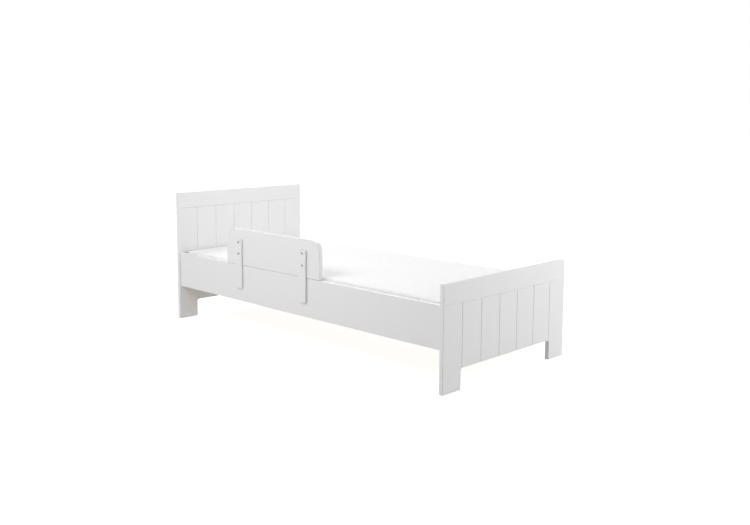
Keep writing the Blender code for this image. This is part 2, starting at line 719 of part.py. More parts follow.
outside = STRIP_OUTER_FACE - CUT_PAST
inside = STRIP_INNER_FACE + CUT_PAST
sockets = bolt_bores_of(
    "bolt_sockets", SOCKET_FLATS / math.sqrt(3), STRIP_OUTER_FACE - 2 * HEAD_HEIGHT, "+Y",
    HEAD_HEIGHT + SOCKET_DEPTH, 6,
)
bolt_holes = bolt_bores_of(
    "guard_bolt_holes", THREAD_RADIUS + TOUCH, outside, "+Y", STRIP_THICKNESS + 2 * CUT_PAST
)
sleeve_holes = bolt_bores_of(
    "guard_sleeve_holes", SLEEVE_RADIUS + TOUCH, inside, "-Y", STACK - STRIP_THICKNESS + CUT_PAST
)
nut_pockets = bolt_bores_of(
    "guard_nut_pockets", SLEEVE_HEAD_RADIUS + TOUCH, inside, "-Y", CUT_PAST + nut_head_end + TOUCH, 20
)
for where, x, z in bolt_spots:
    bolt_place = Matrix.Translation((x, STRIP_OUTER_FACE, z)) @ POINTING["+Y"]
    nut_place = Matrix.Translation((x, STRIP_INNER_FACE, z)) @ POINTING["-Y"]
    cut(copy_of(guard_bolt_mesh, f"guard_bolt_{where}", nickel, bolt_place, guard_origin), sockets)
    copy_of(sleeve_mesh, f"guard_nut_{where}", nickel, nut_place, guard_origin)
cut(guard_panel, sleeve_holes)
for strip in outer_strips:
    cut(strip, bolt_holes)
for strip in inner_strips:
    cut(strip, sleeve_holes)
    cut(strip, nut_pockets)
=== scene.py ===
# %% [markdown]
# # A white toddler bed
# The bed is a low frame of lacquered board: a grooved headboard and footboard on cut-out legs, two side
# rails, thirteen slats on ledgers, a foam mattress in a zipped cover, and a guard that straddles the near
# rail. The hard parts come in ready from the measured model and only need their finishes. The soft
# and small parts, such as the cover, its zip, the slat tapes, staples and screws, are modelled here.
# Everything is in metres: +X runs from head to foot, the guard is at -Y, and +Z is up.

# %% Load the measured bed
import json
import math

import bmesh
import bpy
from mathutils import Matrix, Vector
from mathutils.bvhtree import BVHTree

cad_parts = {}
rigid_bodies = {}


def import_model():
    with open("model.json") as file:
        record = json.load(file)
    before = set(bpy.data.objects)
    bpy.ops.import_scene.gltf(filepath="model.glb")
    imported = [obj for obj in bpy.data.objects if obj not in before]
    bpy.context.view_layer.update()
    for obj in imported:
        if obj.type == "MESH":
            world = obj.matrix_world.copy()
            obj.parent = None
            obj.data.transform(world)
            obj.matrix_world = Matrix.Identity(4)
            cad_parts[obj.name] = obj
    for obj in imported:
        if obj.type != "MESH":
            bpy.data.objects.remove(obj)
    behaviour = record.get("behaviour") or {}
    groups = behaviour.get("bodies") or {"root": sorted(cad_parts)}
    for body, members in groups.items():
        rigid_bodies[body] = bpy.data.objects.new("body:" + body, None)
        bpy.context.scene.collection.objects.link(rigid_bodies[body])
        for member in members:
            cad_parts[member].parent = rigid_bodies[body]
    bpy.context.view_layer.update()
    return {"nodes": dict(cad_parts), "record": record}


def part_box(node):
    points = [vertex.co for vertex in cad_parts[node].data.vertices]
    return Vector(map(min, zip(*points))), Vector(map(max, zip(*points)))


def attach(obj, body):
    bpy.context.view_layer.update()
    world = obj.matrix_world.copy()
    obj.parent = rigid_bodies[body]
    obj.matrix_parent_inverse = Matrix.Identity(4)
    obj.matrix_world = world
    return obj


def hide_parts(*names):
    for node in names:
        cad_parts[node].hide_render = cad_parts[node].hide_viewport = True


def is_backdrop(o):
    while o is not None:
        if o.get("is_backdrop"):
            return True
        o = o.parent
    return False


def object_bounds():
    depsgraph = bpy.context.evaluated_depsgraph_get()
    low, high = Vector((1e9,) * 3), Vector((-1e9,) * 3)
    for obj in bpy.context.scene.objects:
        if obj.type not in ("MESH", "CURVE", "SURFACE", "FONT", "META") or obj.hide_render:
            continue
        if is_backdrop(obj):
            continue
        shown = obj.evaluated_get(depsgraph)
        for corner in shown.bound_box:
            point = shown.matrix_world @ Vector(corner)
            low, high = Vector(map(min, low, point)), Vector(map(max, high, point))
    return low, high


for startup_object in list(bpy.data.objects):
    bpy.data.objects.remove(startup_object, do_unlink=True)

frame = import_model()
nodes = frame["nodes"]
scene = bpy.context.scene


def in_scene(name, data):
    """A new object, linked to the scene."""
    thing = bpy.data.objects.new(name, data)
    scene.collection.objects.link(thing)
    return thing


# %% [markdown]
# ## Camera
# The bed is seen from its near foot corner, from nearly four metres away and just under a metre up. The
# lens is a little longer than a normal one, which keeps the perspective calm, and it is shifted slightly,
# which moves the bed in the frame without turning the camera. One function turns a heading, a dip and a
# lean into a camera; the other choice, a Track To constraint on an empty, would hide those three angles.

# %% Place the camera
LENS_MM = 42.473
SENSOR_MM = 36.0
CAMERA_AT = (2.7594, -2.6957, 0.9859)
HEADING = math.radians(44.8948)  # left of +Y
DIP = math.radians(6.7166)
LEAN = math.radians(0.2392)
SHIFT = (0.01045, -0.06108)


def level_camera(place, heading, dip, lean):
    """A camera at a place, turned left by heading, tipped down by dip and leaned by lean."""
    data = bpy.data.cameras.new("camera")
    data.lens = LENS_MM
    data.sensor_width = SENSOR_MM
    data.shift_x, data.shift_y = SHIFT
    camera = in_scene("camera", data)
    turn = Matrix.Rotation(heading, 4, "Z") @ Matrix.Rotation(math.pi / 2 - dip, 4, "X")
    camera.matrix_world = Matrix.Translation(place) @ turn @ Matrix.Rotation(lean, 4, "Z")
    return camera


scene.camera = level_camera(CAMERA_AT, HEADING, DIP, LEAN)
print("camera", [round(v, 3) for v in scene.camera.location])

# %% [markdown]
# ## Building materials from nodes
# Every finish below is a small network of nodes. Adding nodes by hand takes three or four lines each, so
# these helpers add a node, fill its sockets and wire it in one call: a socket that is given another
# node's output is linked, and one that is given a number is set. Patterns read Object coordinates, which
# are metres here, so a scale of 1000 means a feature of about a millimetre.

# %% Node helpers
def new_finish(name):
    """A material with its node tree and its shader."""
    material = bpy.data.materials.new(name)
    material.use_nodes = True
    return material, material.node_tree, material.node_tree.nodes["Principled BSDF"]


def fill(tree, made, sockets):
    """Sets or links the sockets of a node."""
    for name, value in sockets.items():
        socket = made.inputs[name]
        if isinstance(value, bpy.types.NodeSocket):
            tree.links.new(value, socket)
        elif socket.type == "RGBA":
            socket.default_value = (*value, 1.0)
        else:
            socket.default_value = value
    return made


def add(tree, kind, sockets=None, **settings):
    """Adds a node and returns it."""
    made = tree.nodes.new("ShaderNode" + kind)
    for name, value in settings.items():
        setattr(made, name, value)
    return fill(tree, made, sockets or {})


def calc(tree, operation, first, second=0.0, clamp=False):
    """One sum on numbers; returns its output."""
    made = add(tree, "Math", {0: first, 1: second}, operation=operation, use_clamp=clamp)
    return made.outputs["Value"]


def plus(tree, first, second):
    return calc(tree, "ADD", first, second)


def times(tree, first, second):
    return calc(tree, "MULTIPLY", first, second)


def here(tree):
    """The place on the piece, in metres."""
    return add(tree, "TexCoord").outputs["Object"]


def split(tree, place):
    """The X, Y and Z of a place."""
    return add(tree, "SeparateXYZ", {"Vector": place}).outputs


def joined(tree, x, y, z):
    """A place made of three numbers."""
    return add(tree, "CombineXYZ", {"X": x, "Y": y, "Z": z}).outputs["Vector"]


def stretched(tree, place, scale):
    """The place, scaled, so that a pattern can be longer one way than another."""
    return add(tree, "Mapping", {"Vector": place, "Scale": scale}).outputs["Vector"]


def noise(tree, place, scale, detail=2.0, roughness=0.5):
    """A cloudy pattern with about scale blobs in a metre."""
    sockets = {"Vector": place, "Scale": scale, "Detail": detail, "Roughness": roughness}
    return add(tree, "TexNoise", sockets).outputs["Fac"]


def tones(tree, factor, *stops):
    """A colour ramp through (position, colour) stops; returns its colour."""
    made = add(tree, "ValToRGB", {"Fac": factor})
    elements = made.color_ramp.elements
    for element, (position, colour) in zip((elements[0], elements[-1]), (stops[0], stops[-1])):
        element.position = position
        element.color = (*colour, 1.0)
    for position, colour in stops[1:-1]:
        elements.new(position).color = (*colour, 1.0)
    return made.outputs["Color"]


def blend_colours(tree, factor, first, second):
    """The first colour where the factor is 0, the second where it is 1."""
    made = add(tree, "MixRGB", {"Fac": factor, "Color1": first, "Color2": second})
    return made.outputs["Color"]


def between(tree, factor, low, high):
    """Turns 0..1 into low..high."""
    return plus(tree, times(tree, factor, high - low), low)


def relief(tree, height, depth, strength=1.0, normal=None):
    """A bump of a height pattern, depth metres deep where the pattern goes from 0 to 1."""
    sockets = {"Height": height, "Distance": depth, "Strength": strength}
    if normal is not None:
        sockets["Normal"] = normal
    return add(tree, "Bump", sockets).outputs["Normal"]


def rounded_edges(tree, radius, samples=4):
    """A normal that rounds the sharp edges, in the shading only."""
    return add(tree, "Bevel", {"Radius": radius}, samples=samples).outputs["Normal"]


def dress(tree, surface, colour, roughness, normal):
    """Links the three sockets that vary over every finish here."""
    fill(tree, surface, {"Base Color": colour, "Roughness": roughness, "Normal": normal})


print("node helpers ready")

# %% [markdown]
# ## White satin lacquer
# The boards, rails, guard and strips are fibreboard with a sprayed white lacquer. Sprayed paint is never
# a perfect plane: it has a fine orange peel, a slow cloudiness, and it pulls thin and wears a little at
# the edges. The sharp edges of the measured model also need softening, because a painted edge always
# catches a line of light. A Bevel node rounds only the shading, so the meshes stay as they are. Where
# its normal departs from the true one there is an edge or a groove, and that gives a mask. On the boards
# it lays a slightly darker white, part wear and part painted shade along the arrises and in the grooves.
# On the headboard the same mask lays a whiter paint instead, which is painted light. Nothing is known of
# a different coat there: it is a choice for the look, to keep the headboard's grooves faint.

# %% Lacquer on fibreboard
EDGE_ROUND = 0.0016
LACQUER_WHITE = (0.825, 0.825, 0.825)
LACQUER_SHADE = (0.81, 0.81, 0.808)
# Darker white at the arrises and in the grooves: part wear, part painted shade.
LACQUER_WORN_SHADED = (0.80, 0.797, 0.79)
# A whiter paint at the headboard's edges and in its grooves: painted light.
HEADBOARD_PAINTED_LIGHT = (0.97, 0.97, 0.97)
WEAR_AND_SHADE_GAIN = 2.2
HEADBOARD_LIGHT_GAIN = 7.0
CLOUD_SCALE = 5.0
SATIN_SCALE = 14.0
SATIN_RANGE = (0.36, 0.44)
RUB_SCALE = 28.0
WAVE_SCALE = 60.0
WAVE_DEPTH = 0.00012
PEEL_SCALE = 420.0
PEEL_DEPTH = 0.00002


def sprayed_lacquer(name, at_edges, edge_gain):
    """White lacquer with orange peel, which turns to another white at its edges and in its grooves: a worn
    white with painted shade on the boards, painted light on the headboard.
    """
    material, tree, surface = new_finish(name)
    place = here(tree)
    soft_edge = rounded_edges(tree, EDGE_ROUND, 6)
    true_normal = add(tree, "NewGeometry").outputs["True Normal"]
    agree = add(tree, "VectorMath", {0: soft_edge, 1: true_normal}, operation="DOT_PRODUCT")
    edge = calc(tree, "SUBTRACT", 1.0, agree.outputs["Value"], clamp=True)
    edge_patches = times(tree, noise(tree, place, RUB_SCALE, 4.0, 0.6), edge_gain)
    # The edge mask: wear with painted shade on the boards, painted light on the headboard.
    wear_and_painted_light = calc(tree, "MULTIPLY", edge, edge_patches, clamp=True)
    cloud = noise(tree, place, CLOUD_SCALE, 3.0)
    paint = blend_colours(tree, cloud, LACQUER_WHITE, LACQUER_SHADE)
    colour = blend_colours(tree, wear_and_painted_light, paint, at_edges)
    satin = between(tree, noise(tree, place, SATIN_SCALE, 3.0), *SATIN_RANGE)
    gloss = plus(tree, satin, times(tree, wear_and_painted_light, 0.1))
    wave = relief(tree, noise(tree, place, WAVE_SCALE, 1.0), WAVE_DEPTH, 0.3, soft_edge)
    peel = relief(tree, noise(tree, place, PEEL_SCALE, 1.5, 0.4), PEEL_DEPTH, 0.5, wave)
    dress(tree, surface, colour, gloss, peel)
    surface.inputs["Specular IOR Level"].default_value = 0.4
    return material


# Boards: a worn white with painted shade at the edges and in the grooves.
lacquer = sprayed_lacquer("white_lacquered_board", LACQUER_WORN_SHADED, WEAR_AND_SHADE_GAIN)
# Headboard: painted light at the edges and in the grooves.
headboard_painted_light_lacquer = sprayed_lacquer("white_lacquered_headboard_painted_light", HEADBOARD_PAINTED_LIGHT, HEADBOARD_LIGHT_GAIN)
print(lacquer.name, len(lacquer.node_tree.nodes), "nodes")

# %% [markdown]
# ## Pine
# Slats and ledgers are planed pine. In a sawn plank the growth rings show as long bands: pale early wood
# and narrower, darker late wood, bent round a few knots. A picture of wood would repeat from slat to
# slat, so the rings are computed: they are circles round a pith line, which lies well below every slat,
# and a random number drawn from the plank's number moves the pith, so that no two slats look alike. The
# grain follows the plank, across the bed for slats and along it for ledgers.

# %% Growth rings, knots and planed wood
PINE_EARLY = (0.84, 0.73, 0.56)
PINE_MID = (0.79, 0.66, 0.48)
PINE_LATE = (0.66, 0.50, 0.33)
PINE_KNOT = (0.30, 0.18, 0.10)
PINE_DEPTH = 0.00008
RING_SCALE = 70.0
RING_WOBBLE = {"Distortion": 3.5, "Detail": 3.0, "Detail Scale": 1.2, "Detail Roughness": 0.6}
PITH_ASIDE = (-0.05, 0.05)
PITH_SHIFT = (-0.17, -0.11)
GRAIN_STRETCH = 0.07
KNOT_SCALE = 4.2
KNOT_SHARPNESS = 14.0
FIBRE_SCALE = 900.0
SLAT_COUNT = 13


def growth_rings(tree, grain, knot):
    """Rings round a line along Y, pushed aside by the knots."""
    push = joined(tree, times(tree, knot, 0.02), 0.0, times(tree, knot, 0.012))
    bent = add(tree, "VectorMath", {0: grain, 1: push}, operation="ADD").outputs["Vector"]
    made = add(tree, "TexWave", {"Vector": bent, "Scale": RING_SCALE, **RING_WOBBLE})
    made.wave_type = "RINGS"
    made.rings_direction = "Y"
    made.wave_profile = "SAW"
    return made.outputs["Fac"]


def planed_pine(name, along, plank_pitch, first_plank):
    """Pine with its grain along X or Y; planks are told apart by their place across the grain."""
    material, tree, surface = new_finish(name)
    axes = split(tree, here(tree))
    run = axes[along]
    across = axes["X" if along == "Y" else "Y"]
    plank = calc(tree, "DIVIDE", calc(tree, "SUBTRACT", across, first_plank), plank_pitch)
    plank = calc(tree, "ROUND", plank)
    luck = split(tree, add(tree, "TexWhiteNoise", {"W": plank}, noise_dimensions="1D").outputs["Color"])
    centre = plus(tree, times(tree, plank, plank_pitch), first_plank)
    off_centre = calc(tree, "SUBTRACT", across, centre)
    sideways = plus(tree, off_centre, between(tree, luck["X"], *PITH_ASIDE))
    upward = plus(tree, axes["Z"], between(tree, luck["Y"], *PITH_SHIFT))
    lengthwise = plus(tree, times(tree, run, GRAIN_STRETCH), times(tree, luck["Z"], 9.0))
    grain = joined(tree, sideways, lengthwise, upward)
    knot_run = plus(tree, run, times(tree, luck["Z"], 7.0))
    knot_place = joined(tree, sideways, knot_run, times(tree, upward, 0.2))
    cells = add(tree, "TexVoronoi", {"Vector": knot_place, "Scale": KNOT_SCALE, "Randomness": 1.0})
    far = times(tree, cells.outputs["Distance"], KNOT_SHARPNESS)
    knot = calc(tree, "SUBTRACT", 1.0, far, clamp=True)
    rings = growth_rings(tree, grain, knot)
    wood = tones(tree, rings, (0.0, PINE_EARLY), (0.55, PINE_MID), (0.92, PINE_LATE), (1.0, PINE_EARLY))
    fibre = noise(tree, stretched(tree, grain, (1.0, 0.6, 1.0)), FIBRE_SCALE, 3.0, 0.7)
    streaked = blend_colours(tree, times(tree, fibre, 0.22), wood, PINE_LATE)
    colour = blend_colours(tree, calc(tree, "POWER", knot, 0.6), streaked, PINE_KNOT)
    height = plus(tree, times(tree, rings, 0.5), fibre)
    planed = relief(tree, height, PINE_DEPTH, 0.6, rounded_edges(tree, 0.0008))
    dress(tree, surface, colour, between(tree, fibre, 0.55, 0.75), planed)
    return material


slat_low, slat_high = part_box("slat_01")
last_low, last_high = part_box(f"slat_{SLAT_COUNT}")
first_slat = (slat_low.x + slat_high.x) / 2
slat_pitch = ((last_low.x + last_high.x) / 2 - first_slat) / (SLAT_COUNT - 1)
ledger_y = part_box("slat_ledger_back")[1].y
pine_slats = planed_pine("pine_slat", "Y", slat_pitch, first_slat)
pine_ledgers = planed_pine("pine_ledger", "X", 2 * ledger_y, -ledger_y)
print(f"slats every {slat_pitch * 1000:.1f} mm from x = {first_slat:.3f}")

# %% [markdown]
# ## Beech, zinc, steel and nickel
# The hidden joints have grooved beech dowels, die-cast zinc cams and turned steel bolts; the guard's bolts
# and sleeve nuts are nickel plated. Beech shows short dark flecks. Die castings are slightly grainy.
# Turned parts have rings round their axis, which a wave pattern along that axis gives. Metals get their
# metallic value on the shader itself, because it is the same all over.

# %% Small hardware finishes
BEECH_PALE = (0.74, 0.52, 0.33)
BEECH_DARK = (0.60, 0.39, 0.22)
BEECH_FLECK = (0.34, 0.19, 0.10)
BEECH_DEPTH = 0.0001
METALS = {  # name: (bright, dull, roughness, ring axis, rings, grain, depth)
    "zinc": ((0.60, 0.60, 0.61), (0.47, 0.47, 0.49), 0.42, "X", 0.0, 1500.0, 0.00004),
    "steel": ((0.64, 0.64, 0.65), (0.50, 0.50, 0.51), 0.30, "X", 900.0, 2500.0, 0.00002),
    "nickel": ((0.66, 0.645, 0.62), (0.55, 0.54, 0.52), 0.22, "Y", 1100.0, 3000.0, 0.00001),
    "screw_steel": ((0.66, 0.62, 0.50), (0.50, 0.46, 0.36), 0.34, "Z", 800.0, 2500.0, 0.00002),
}


def flecked_beech(name):
    """Beech with its grain along X."""
    material, tree, surface = new_finish(name)
    long_grain = stretched(tree, here(tree), (0.12, 1.0, 1.0))
    figure = noise(tree, long_grain, 300.0, 3.0, 0.6)
    fleck = calc(tree, "GREATER_THAN", noise(tree, long_grain, 1400.0, 1.0), 0.66)
    wood = tones(tree, figure, (0.3, BEECH_PALE), (0.7, BEECH_DARK))
    colour = blend_colours(tree, times(tree, fleck, 0.6), wood, BEECH_FLECK)
    dress(tree, surface, colour, between(tree, figure, 0.55, 0.7), relief(tree, figure, BEECH_DEPTH, 0.6))
    return material


def worked_metal(name, bright, dull, roughness, ring_axis, ring_scale, grain_scale, depth):
    """A metal with tool rings along one axis, or a cast skin when ring_scale is 0."""
    material, tree, surface = new_finish(name)
    place = here(tree)
    grain = noise(tree, place, grain_scale, 3.0, 0.6)
    stain = noise(tree, place, grain_scale / 12, 3.0)
    height = grain
    if ring_scale:
        turned = add(tree, "TexWave", {"Vector": place, "Scale": ring_scale, "Distortion": 0.4})
        turned.wave_type = "BANDS"
        turned.bands_direction = ring_axis
        height = plus(tree, turned.outputs["Fac"], times(tree, grain, 0.4))
    colour = blend_colours(tree, stain, bright, dull)
    gloss = between(tree, stain, roughness, roughness + 0.15)
    dress(tree, surface, colour, gloss, relief(tree, height, depth, 0.5, rounded_edges(tree, 0.0003)))
    surface.inputs["Metallic"].default_value = 1.0
    return material


beech = flecked_beech("beech")
zinc, steel, nickel, screw_steel = [worked_metal(name, *facts) for name, facts in METALS.items()]
print("beech,", ", ".join(METALS))

# %% [markdown]
# ## Cover fabric, foam, webbing and zip plastic
# The mattress cover is a white knitted cotton: small interlocking loops a little over a millimetre wide,
# and a slow mottling where the fabric relaxes over the foam. The cloth's colour follows that relief and
# darkens in its dips, which is painted shade. Sine waves along the three axes, multiplied in pairs, give
# loops on every side without a UV map, so nothing stretches at the seams. Foam has open cells, which the
# Voronoi pattern resembles. Webbing is a coarse weave of pale polypropylene, whose colour is also darker
# in the dips of the weave, as painted shade.

# %% Soft finishes
KNIT_PITCH = 0.0013
THREAD_PITCH = 0.0004
WEAVE_PITCH = 0.0021
MOTTLE_SCALE = 34.0
CRUMPLE_DEPTH = 0.0022
KNIT_DEPTH = 0.00022
FUZZ_SCALE = 1600.0
CELL_SCALE = 900.0
CELL_DEPTH = 0.0004
WEAVE_DEPTH = 0.0004
NYLON_DEPTH = 0.00006
CLOTH_WHITE = (0.92, 0.92, 0.92)
# The colour in the dips of the cloth: painted shade.
CLOTH_PAINTED_SHADE = (0.88, 0.88, 0.88)
THREAD_WHITE = (0.86, 0.86, 0.86)
# The colour in the dips of the thread: painted shade.
THREAD_PAINTED_SHADE = (0.80, 0.80, 0.80)
FOAM_FRESH = (0.88, 0.85, 0.68)
FOAM_TIRED = (0.80, 0.75, 0.55)
# The colour in the dips of the weave: painted shade.
WEB_PAINTED_SHADE = (0.62, 0.61, 0.57)
WEB_PALE = (0.80, 0.79, 0.75)
WEB_SOIL = (0.60, 0.57, 0.50)
NYLON_CLEAR = (0.84, 0.84, 0.84)
NYLON_MILKY = (0.76, 0.76, 0.75)


def three_waves(tree, place, pitch):
    """A bumpy pattern of one loop per pitch on whichever side a surface faces."""
    axes = split(tree, place)
    turns = 2 * math.pi / pitch
    waves = [calc(tree, "SINE", times(tree, axes[axis], turns)) for axis in "XYZ"]
    pairs = [times(tree, waves[i], waves[i - 1]) for i in range(3)]
    total = plus(tree, plus(tree, pairs[0], pairs[1]), pairs[2])
    return calc(tree, "ADD", times(tree, total, 0.25), 0.5, clamp=True)


def knitted_cotton(name, white, shade, pitch):
    """Knitted loops over a slow mottling, with fuzz and a little sheen; the colour darkens in the dips as
    painted shade.
    """
    material, tree, surface = new_finish(name)
    place = here(tree)
    loops = three_waves(tree, place, pitch)
    mottle = noise(tree, place, MOTTLE_SCALE, 4.0, 0.62)
    fuzz = noise(tree, place, FUZZ_SCALE, 2.0)
    # The colour follows the relief: darker in the dips of the mottling and between the loops, as painted
    # shade.
    tone = plus(tree, times(tree, mottle, 0.75), times(tree, loops, 0.25))
    colour = tones(tree, tone, (0.36, shade), (0.64, white))
    crumple = relief(tree, mottle, CRUMPLE_DEPTH, 0.35)
    knit = relief(tree, plus(tree, loops, times(tree, fuzz, 0.5)), KNIT_DEPTH, 0.45, crumple)
    dress(tree, surface, colour, between(tree, fuzz, 0.80, 0.95), knit)
    surface.inputs["Sheen Weight"].default_value = 0.12
    surface.inputs["Sheen Roughness"].default_value = 0.5
    surface.inputs["Specular IOR Level"].default_value = 0.25
    return material


def open_foam(name):
    """Foam with open cells, yellowed in patches."""
    material, tree, surface = new_finish(name)
    place = here(tree)
    cells = add(tree, "TexVoronoi", {"Vector": place, "Scale": CELL_SCALE}).outputs["Distance"]
    colour = blend_colours(tree, noise(tree, place, 12.0, 3.0), FOAM_FRESH, FOAM_TIRED)
    dress(tree, surface, colour, between(tree, cells, 0.85, 1.0), relief(tree, cells, CELL_DEPTH, 0.7))
    return material


def woven_webbing(name):
    """A coarse weave, darker in its dips as painted shade, with frayed fibres along X and a little soil."""
    material, tree, surface = new_finish(name)
    place = here(tree)
    weave = three_waves(tree, place, WEAVE_PITCH)
    fray = noise(tree, stretched(tree, place, (0.08, 1.0, 1.0)), 1500.0, 2.0)
    soil = noise(tree, place, 20.0, 3.0)
    # Dark where the weave is low: painted shade between the threads.
    base = blend_colours(tree, weave, WEB_PAINTED_SHADE, WEB_PALE)
    colour = blend_colours(tree, times(tree, soil, 0.3), base, WEB_SOIL)
    height = plus(tree, weave, times(tree, fray, 0.4))
    dress(tree, surface, colour, between(tree, fray, 0.6, 0.8), relief(tree, height, WEAVE_DEPTH, 0.7))
    surface.inputs["Sheen Weight"].default_value = 0.1
    return material


def moulded_nylon(name):
    """Translucent-looking plastic with fine lines across the zip."""
    material, tree, surface = new_finish(name)
    place = here(tree)
    pull = noise(tree, stretched(tree, place, (1.0, 0.2, 1.0)), 1800.0, 2.0)
    colour = blend_colours(tree, noise(tree, place, 120.0, 2.0), NYLON_CLEAR, NYLON_MILKY)
    dress(tree, surface, colour, between(tree, pull, 0.38, 0.55), relief(tree, pull, NYLON_DEPTH, 0.6))
    return material


cover_knit = knitted_cotton("cover_knit", CLOTH_WHITE, CLOTH_PAINTED_SHADE, KNIT_PITCH)
thread_knit = knitted_cotton("cover_thread", THREAD_WHITE, THREAD_PAINTED_SHADE, THREAD_PITCH)
foam = open_foam("foam")
webbing = woven_webbing("webbing")
nylon = moulded_nylon("zip_nylon")
print("cover_knit, cover_thread, foam, webbing, zip_nylon")

# %% [markdown]
# ## Finishes onto the measured parts
# A node's record names its finish slot. Only the material in the object's slots is changed; the measured
# meshes stay untouched.

# %% Assign
SLOT_FINISHES = {
    "white_lacquered_board": lacquer,
    "pine": pine_slats,
    "beech": beech,
    "zinc": zinc,
    "steel": steel,
    "nickel": nickel,
    "webbing": webbing,
    "cover_knit": cover_knit,
    "zip_nylon": nylon,
    "foam": foam,
}
for part in frame["record"]["subparts"]:
    finish = SLOT_FINISHES[part["material_slot"]]
    if part["node"] == "headboard":
        # The headboard's lacquer carries painted light in its grooves.
        finish = headboard_painted_light_lacquer
    if part["node"].startswith("slat_ledger"):
        finish = pine_ledgers
    if part["node"].startswith("slat_screw"):
        finish = screw_steel
    for material_slot in nodes[part["node"]].material_slots:
        material_slot.material = finish

# %% [markdown]
# ## From bmesh to a finished piece
# Each new piece is shaped in a bmesh, then turned into an object at the origin with its place in its mesh,
# so that patterns on Object coordinates neither slide nor turn. One helper does this, hangs the piece on
# the body it moves with and gives it its finish.

# %% Finish a piece
def finish_piece(name, shape, material, body, smooth=True):
    """Makes a piece of a bmesh, and gives it its finish and its body."""
    mesh = bpy.data.meshes.new(name)
    shape.to_mesh(mesh)
    shape.free()
    for face in mesh.polygons:
        face.use_smooth = smooth
    mesh.materials.append(material)
    piece = in_scene(name, mesh)
    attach(piece, body)
    print(f"{name}: {len(mesh.polygons)} faces")
    return piece


def block(shape, low, high):
    """Adds a box between two corners; returns its vertices."""
    centre = (Vector(low) + Vector(high)) / 2
    size = Vector(high) - Vector(low)
    place = Matrix.LocRotScale(centre, None, size)
    return bmesh.ops.create_cube(shape, size=1.0, matrix=place)["verts"]


def round_edges(shape, edges, width, segments):
    """Bevels edges with round corners."""
    return bmesh.ops.bevel(
        shape,
        geom=edges,
        offset=width,
        offset_type="OFFSET",
        segments=segments,
        profile=0.5,
        affect="EDGES",
        material=-1,
    )


def edges_of(verts):
    """The edges that touch these vertices, each once."""
    return list({edge for vertex in verts for edge in vertex.link_edges})


def repeat_shape(shape, pattern, places):
    """Adds a copy of the mesh called pattern at each place."""
    for place in places:
        copy = pattern.copy()
        copy.transform(place)
        shape.from_mesh(copy)
        bpy.data.meshes.remove(copy)


def as_pattern(name, shape):
    """The shape as a mesh that can be copied."""
    mesh = bpy.data.meshes.new(name)
    shape.to_mesh(mesh)
    shape.free()
    return mesh


print("piece helpers ready")

# %% [markdown]
# ## The mattress cover
# On the real bed a foam block fills a knitted cover, so the mattress is nearly a box, yet nowhere exactly
# flat: the top is crowned, the long sides pull in a little between the corners, and the edges are soft.
# It could be sculpted by hand. Here the fabric is inflated instead, which gives that tension for free: a
# form a little smaller than the space is remeshed into even squares, and Blender's Cloth blows it up with
# pressure and without gravity. A cap then limits how far each point may have moved.

# %% Form for the cover
SHRINK = 0.0015
CORNER_ROUND = 0.0185
RIM_ROUND = 0.005
EVEN_SQUARE = 0.0095

cover_low, cover_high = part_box("mattress_cover")
cover_middle = (cover_low + cover_high) / 2
cover_half = (cover_high - cover_low) / 2


def cover_form():
    """A closed block with round corners and rims, a little smaller than the cover's space."""
    shape = bmesh.new()
    inward = Vector((SHRINK, SHRINK, SHRINK))
    block(shape, cover_low + inward, cover_high - inward)
    upright = [e for e in shape.edges if abs(e.verts[0].co.z - e.verts[1].co.z) > 0.01]
    round_edges(shape, upright, CORNER_ROUND, 5)
    rims = [e for e in shape.edges if abs(e.verts[0].co.z - e.verts[1].co.z) < 1e-6]
    round_edges(shape, rims, RIM_ROUND, 4)
    bmesh.ops.recalc_face_normals(shape, faces=shape.faces)
    return as_pattern("cover_form", shape)


def evaluated_copy(thing):
    """The thing's mesh with its modifiers applied."""
    graph = bpy.context.evaluated_depsgraph_get()
    return bpy.data.meshes.new_from_object(thing.evaluated_get(graph))


def evenly_remeshed(mesh, square):
    """The mesh rebuilt of squares of one size."""
    holder = in_scene("cover_remesh", mesh)
    remesh = holder.modifiers.new("even squares", "REMESH")
    remesh.mode = "VOXEL"
    remesh.voxel_size = square
    even = evaluated_copy(holder)
    bpy.data.objects.remove(holder)
    return even


cover_start = evenly_remeshed(cover_form(), EVEN_SQUARE)
print(f"cover form: {len(cover_start.polygons)} even squares")

# %% [markdown]
# ## Inflating the cover
# Twenty frames of Cloth are enough for the fabric to come under tension. The simulation is only a tool:
# its shape is read back as plain vertex positions, so no Cloth modifier stays on the piece.

# %% Cloth under pressure
CLOTH_FRAMES = 20
CLOTH_PRESSURE = 4.0
TOP_CAP = 0.0042
SIDE_CAP = 0.0014


def inflated(mesh):
    """The places of the mesh's points after the cloth has been blown up."""
    holder = in_scene("cover_cloth", mesh.copy())
    cloth = holder.modifiers.new("cloth", "CLOTH")
    cloth.settings.quality = 4
    cloth.settings.mass = 0.3
    cloth.settings.use_pressure = True
    cloth.settings.uniform_pressure_force = CLOTH_PRESSURE
    cloth.settings.effector_weights.gravity = 0.0
    cloth.point_cache.frame_start = 1
    cloth.point_cache.frame_end = CLOTH_FRAMES
    for frame_number in range(1, CLOTH_FRAMES + 1):
        scene.frame_set(frame_number)
    result = evaluated_copy(holder)
    places = [vertex.co.copy() for vertex in result.vertices]
    scene.frame_set(1)
    bpy.data.objects.remove(holder)
    return places


cover_places = inflated(cover_start)
moves = [(b - a.co).length for a, b in zip(cover_start.vertices, cover_places)]
print(f"cover moved up to {max(moves) * 1000:.1f} mm before the cap")

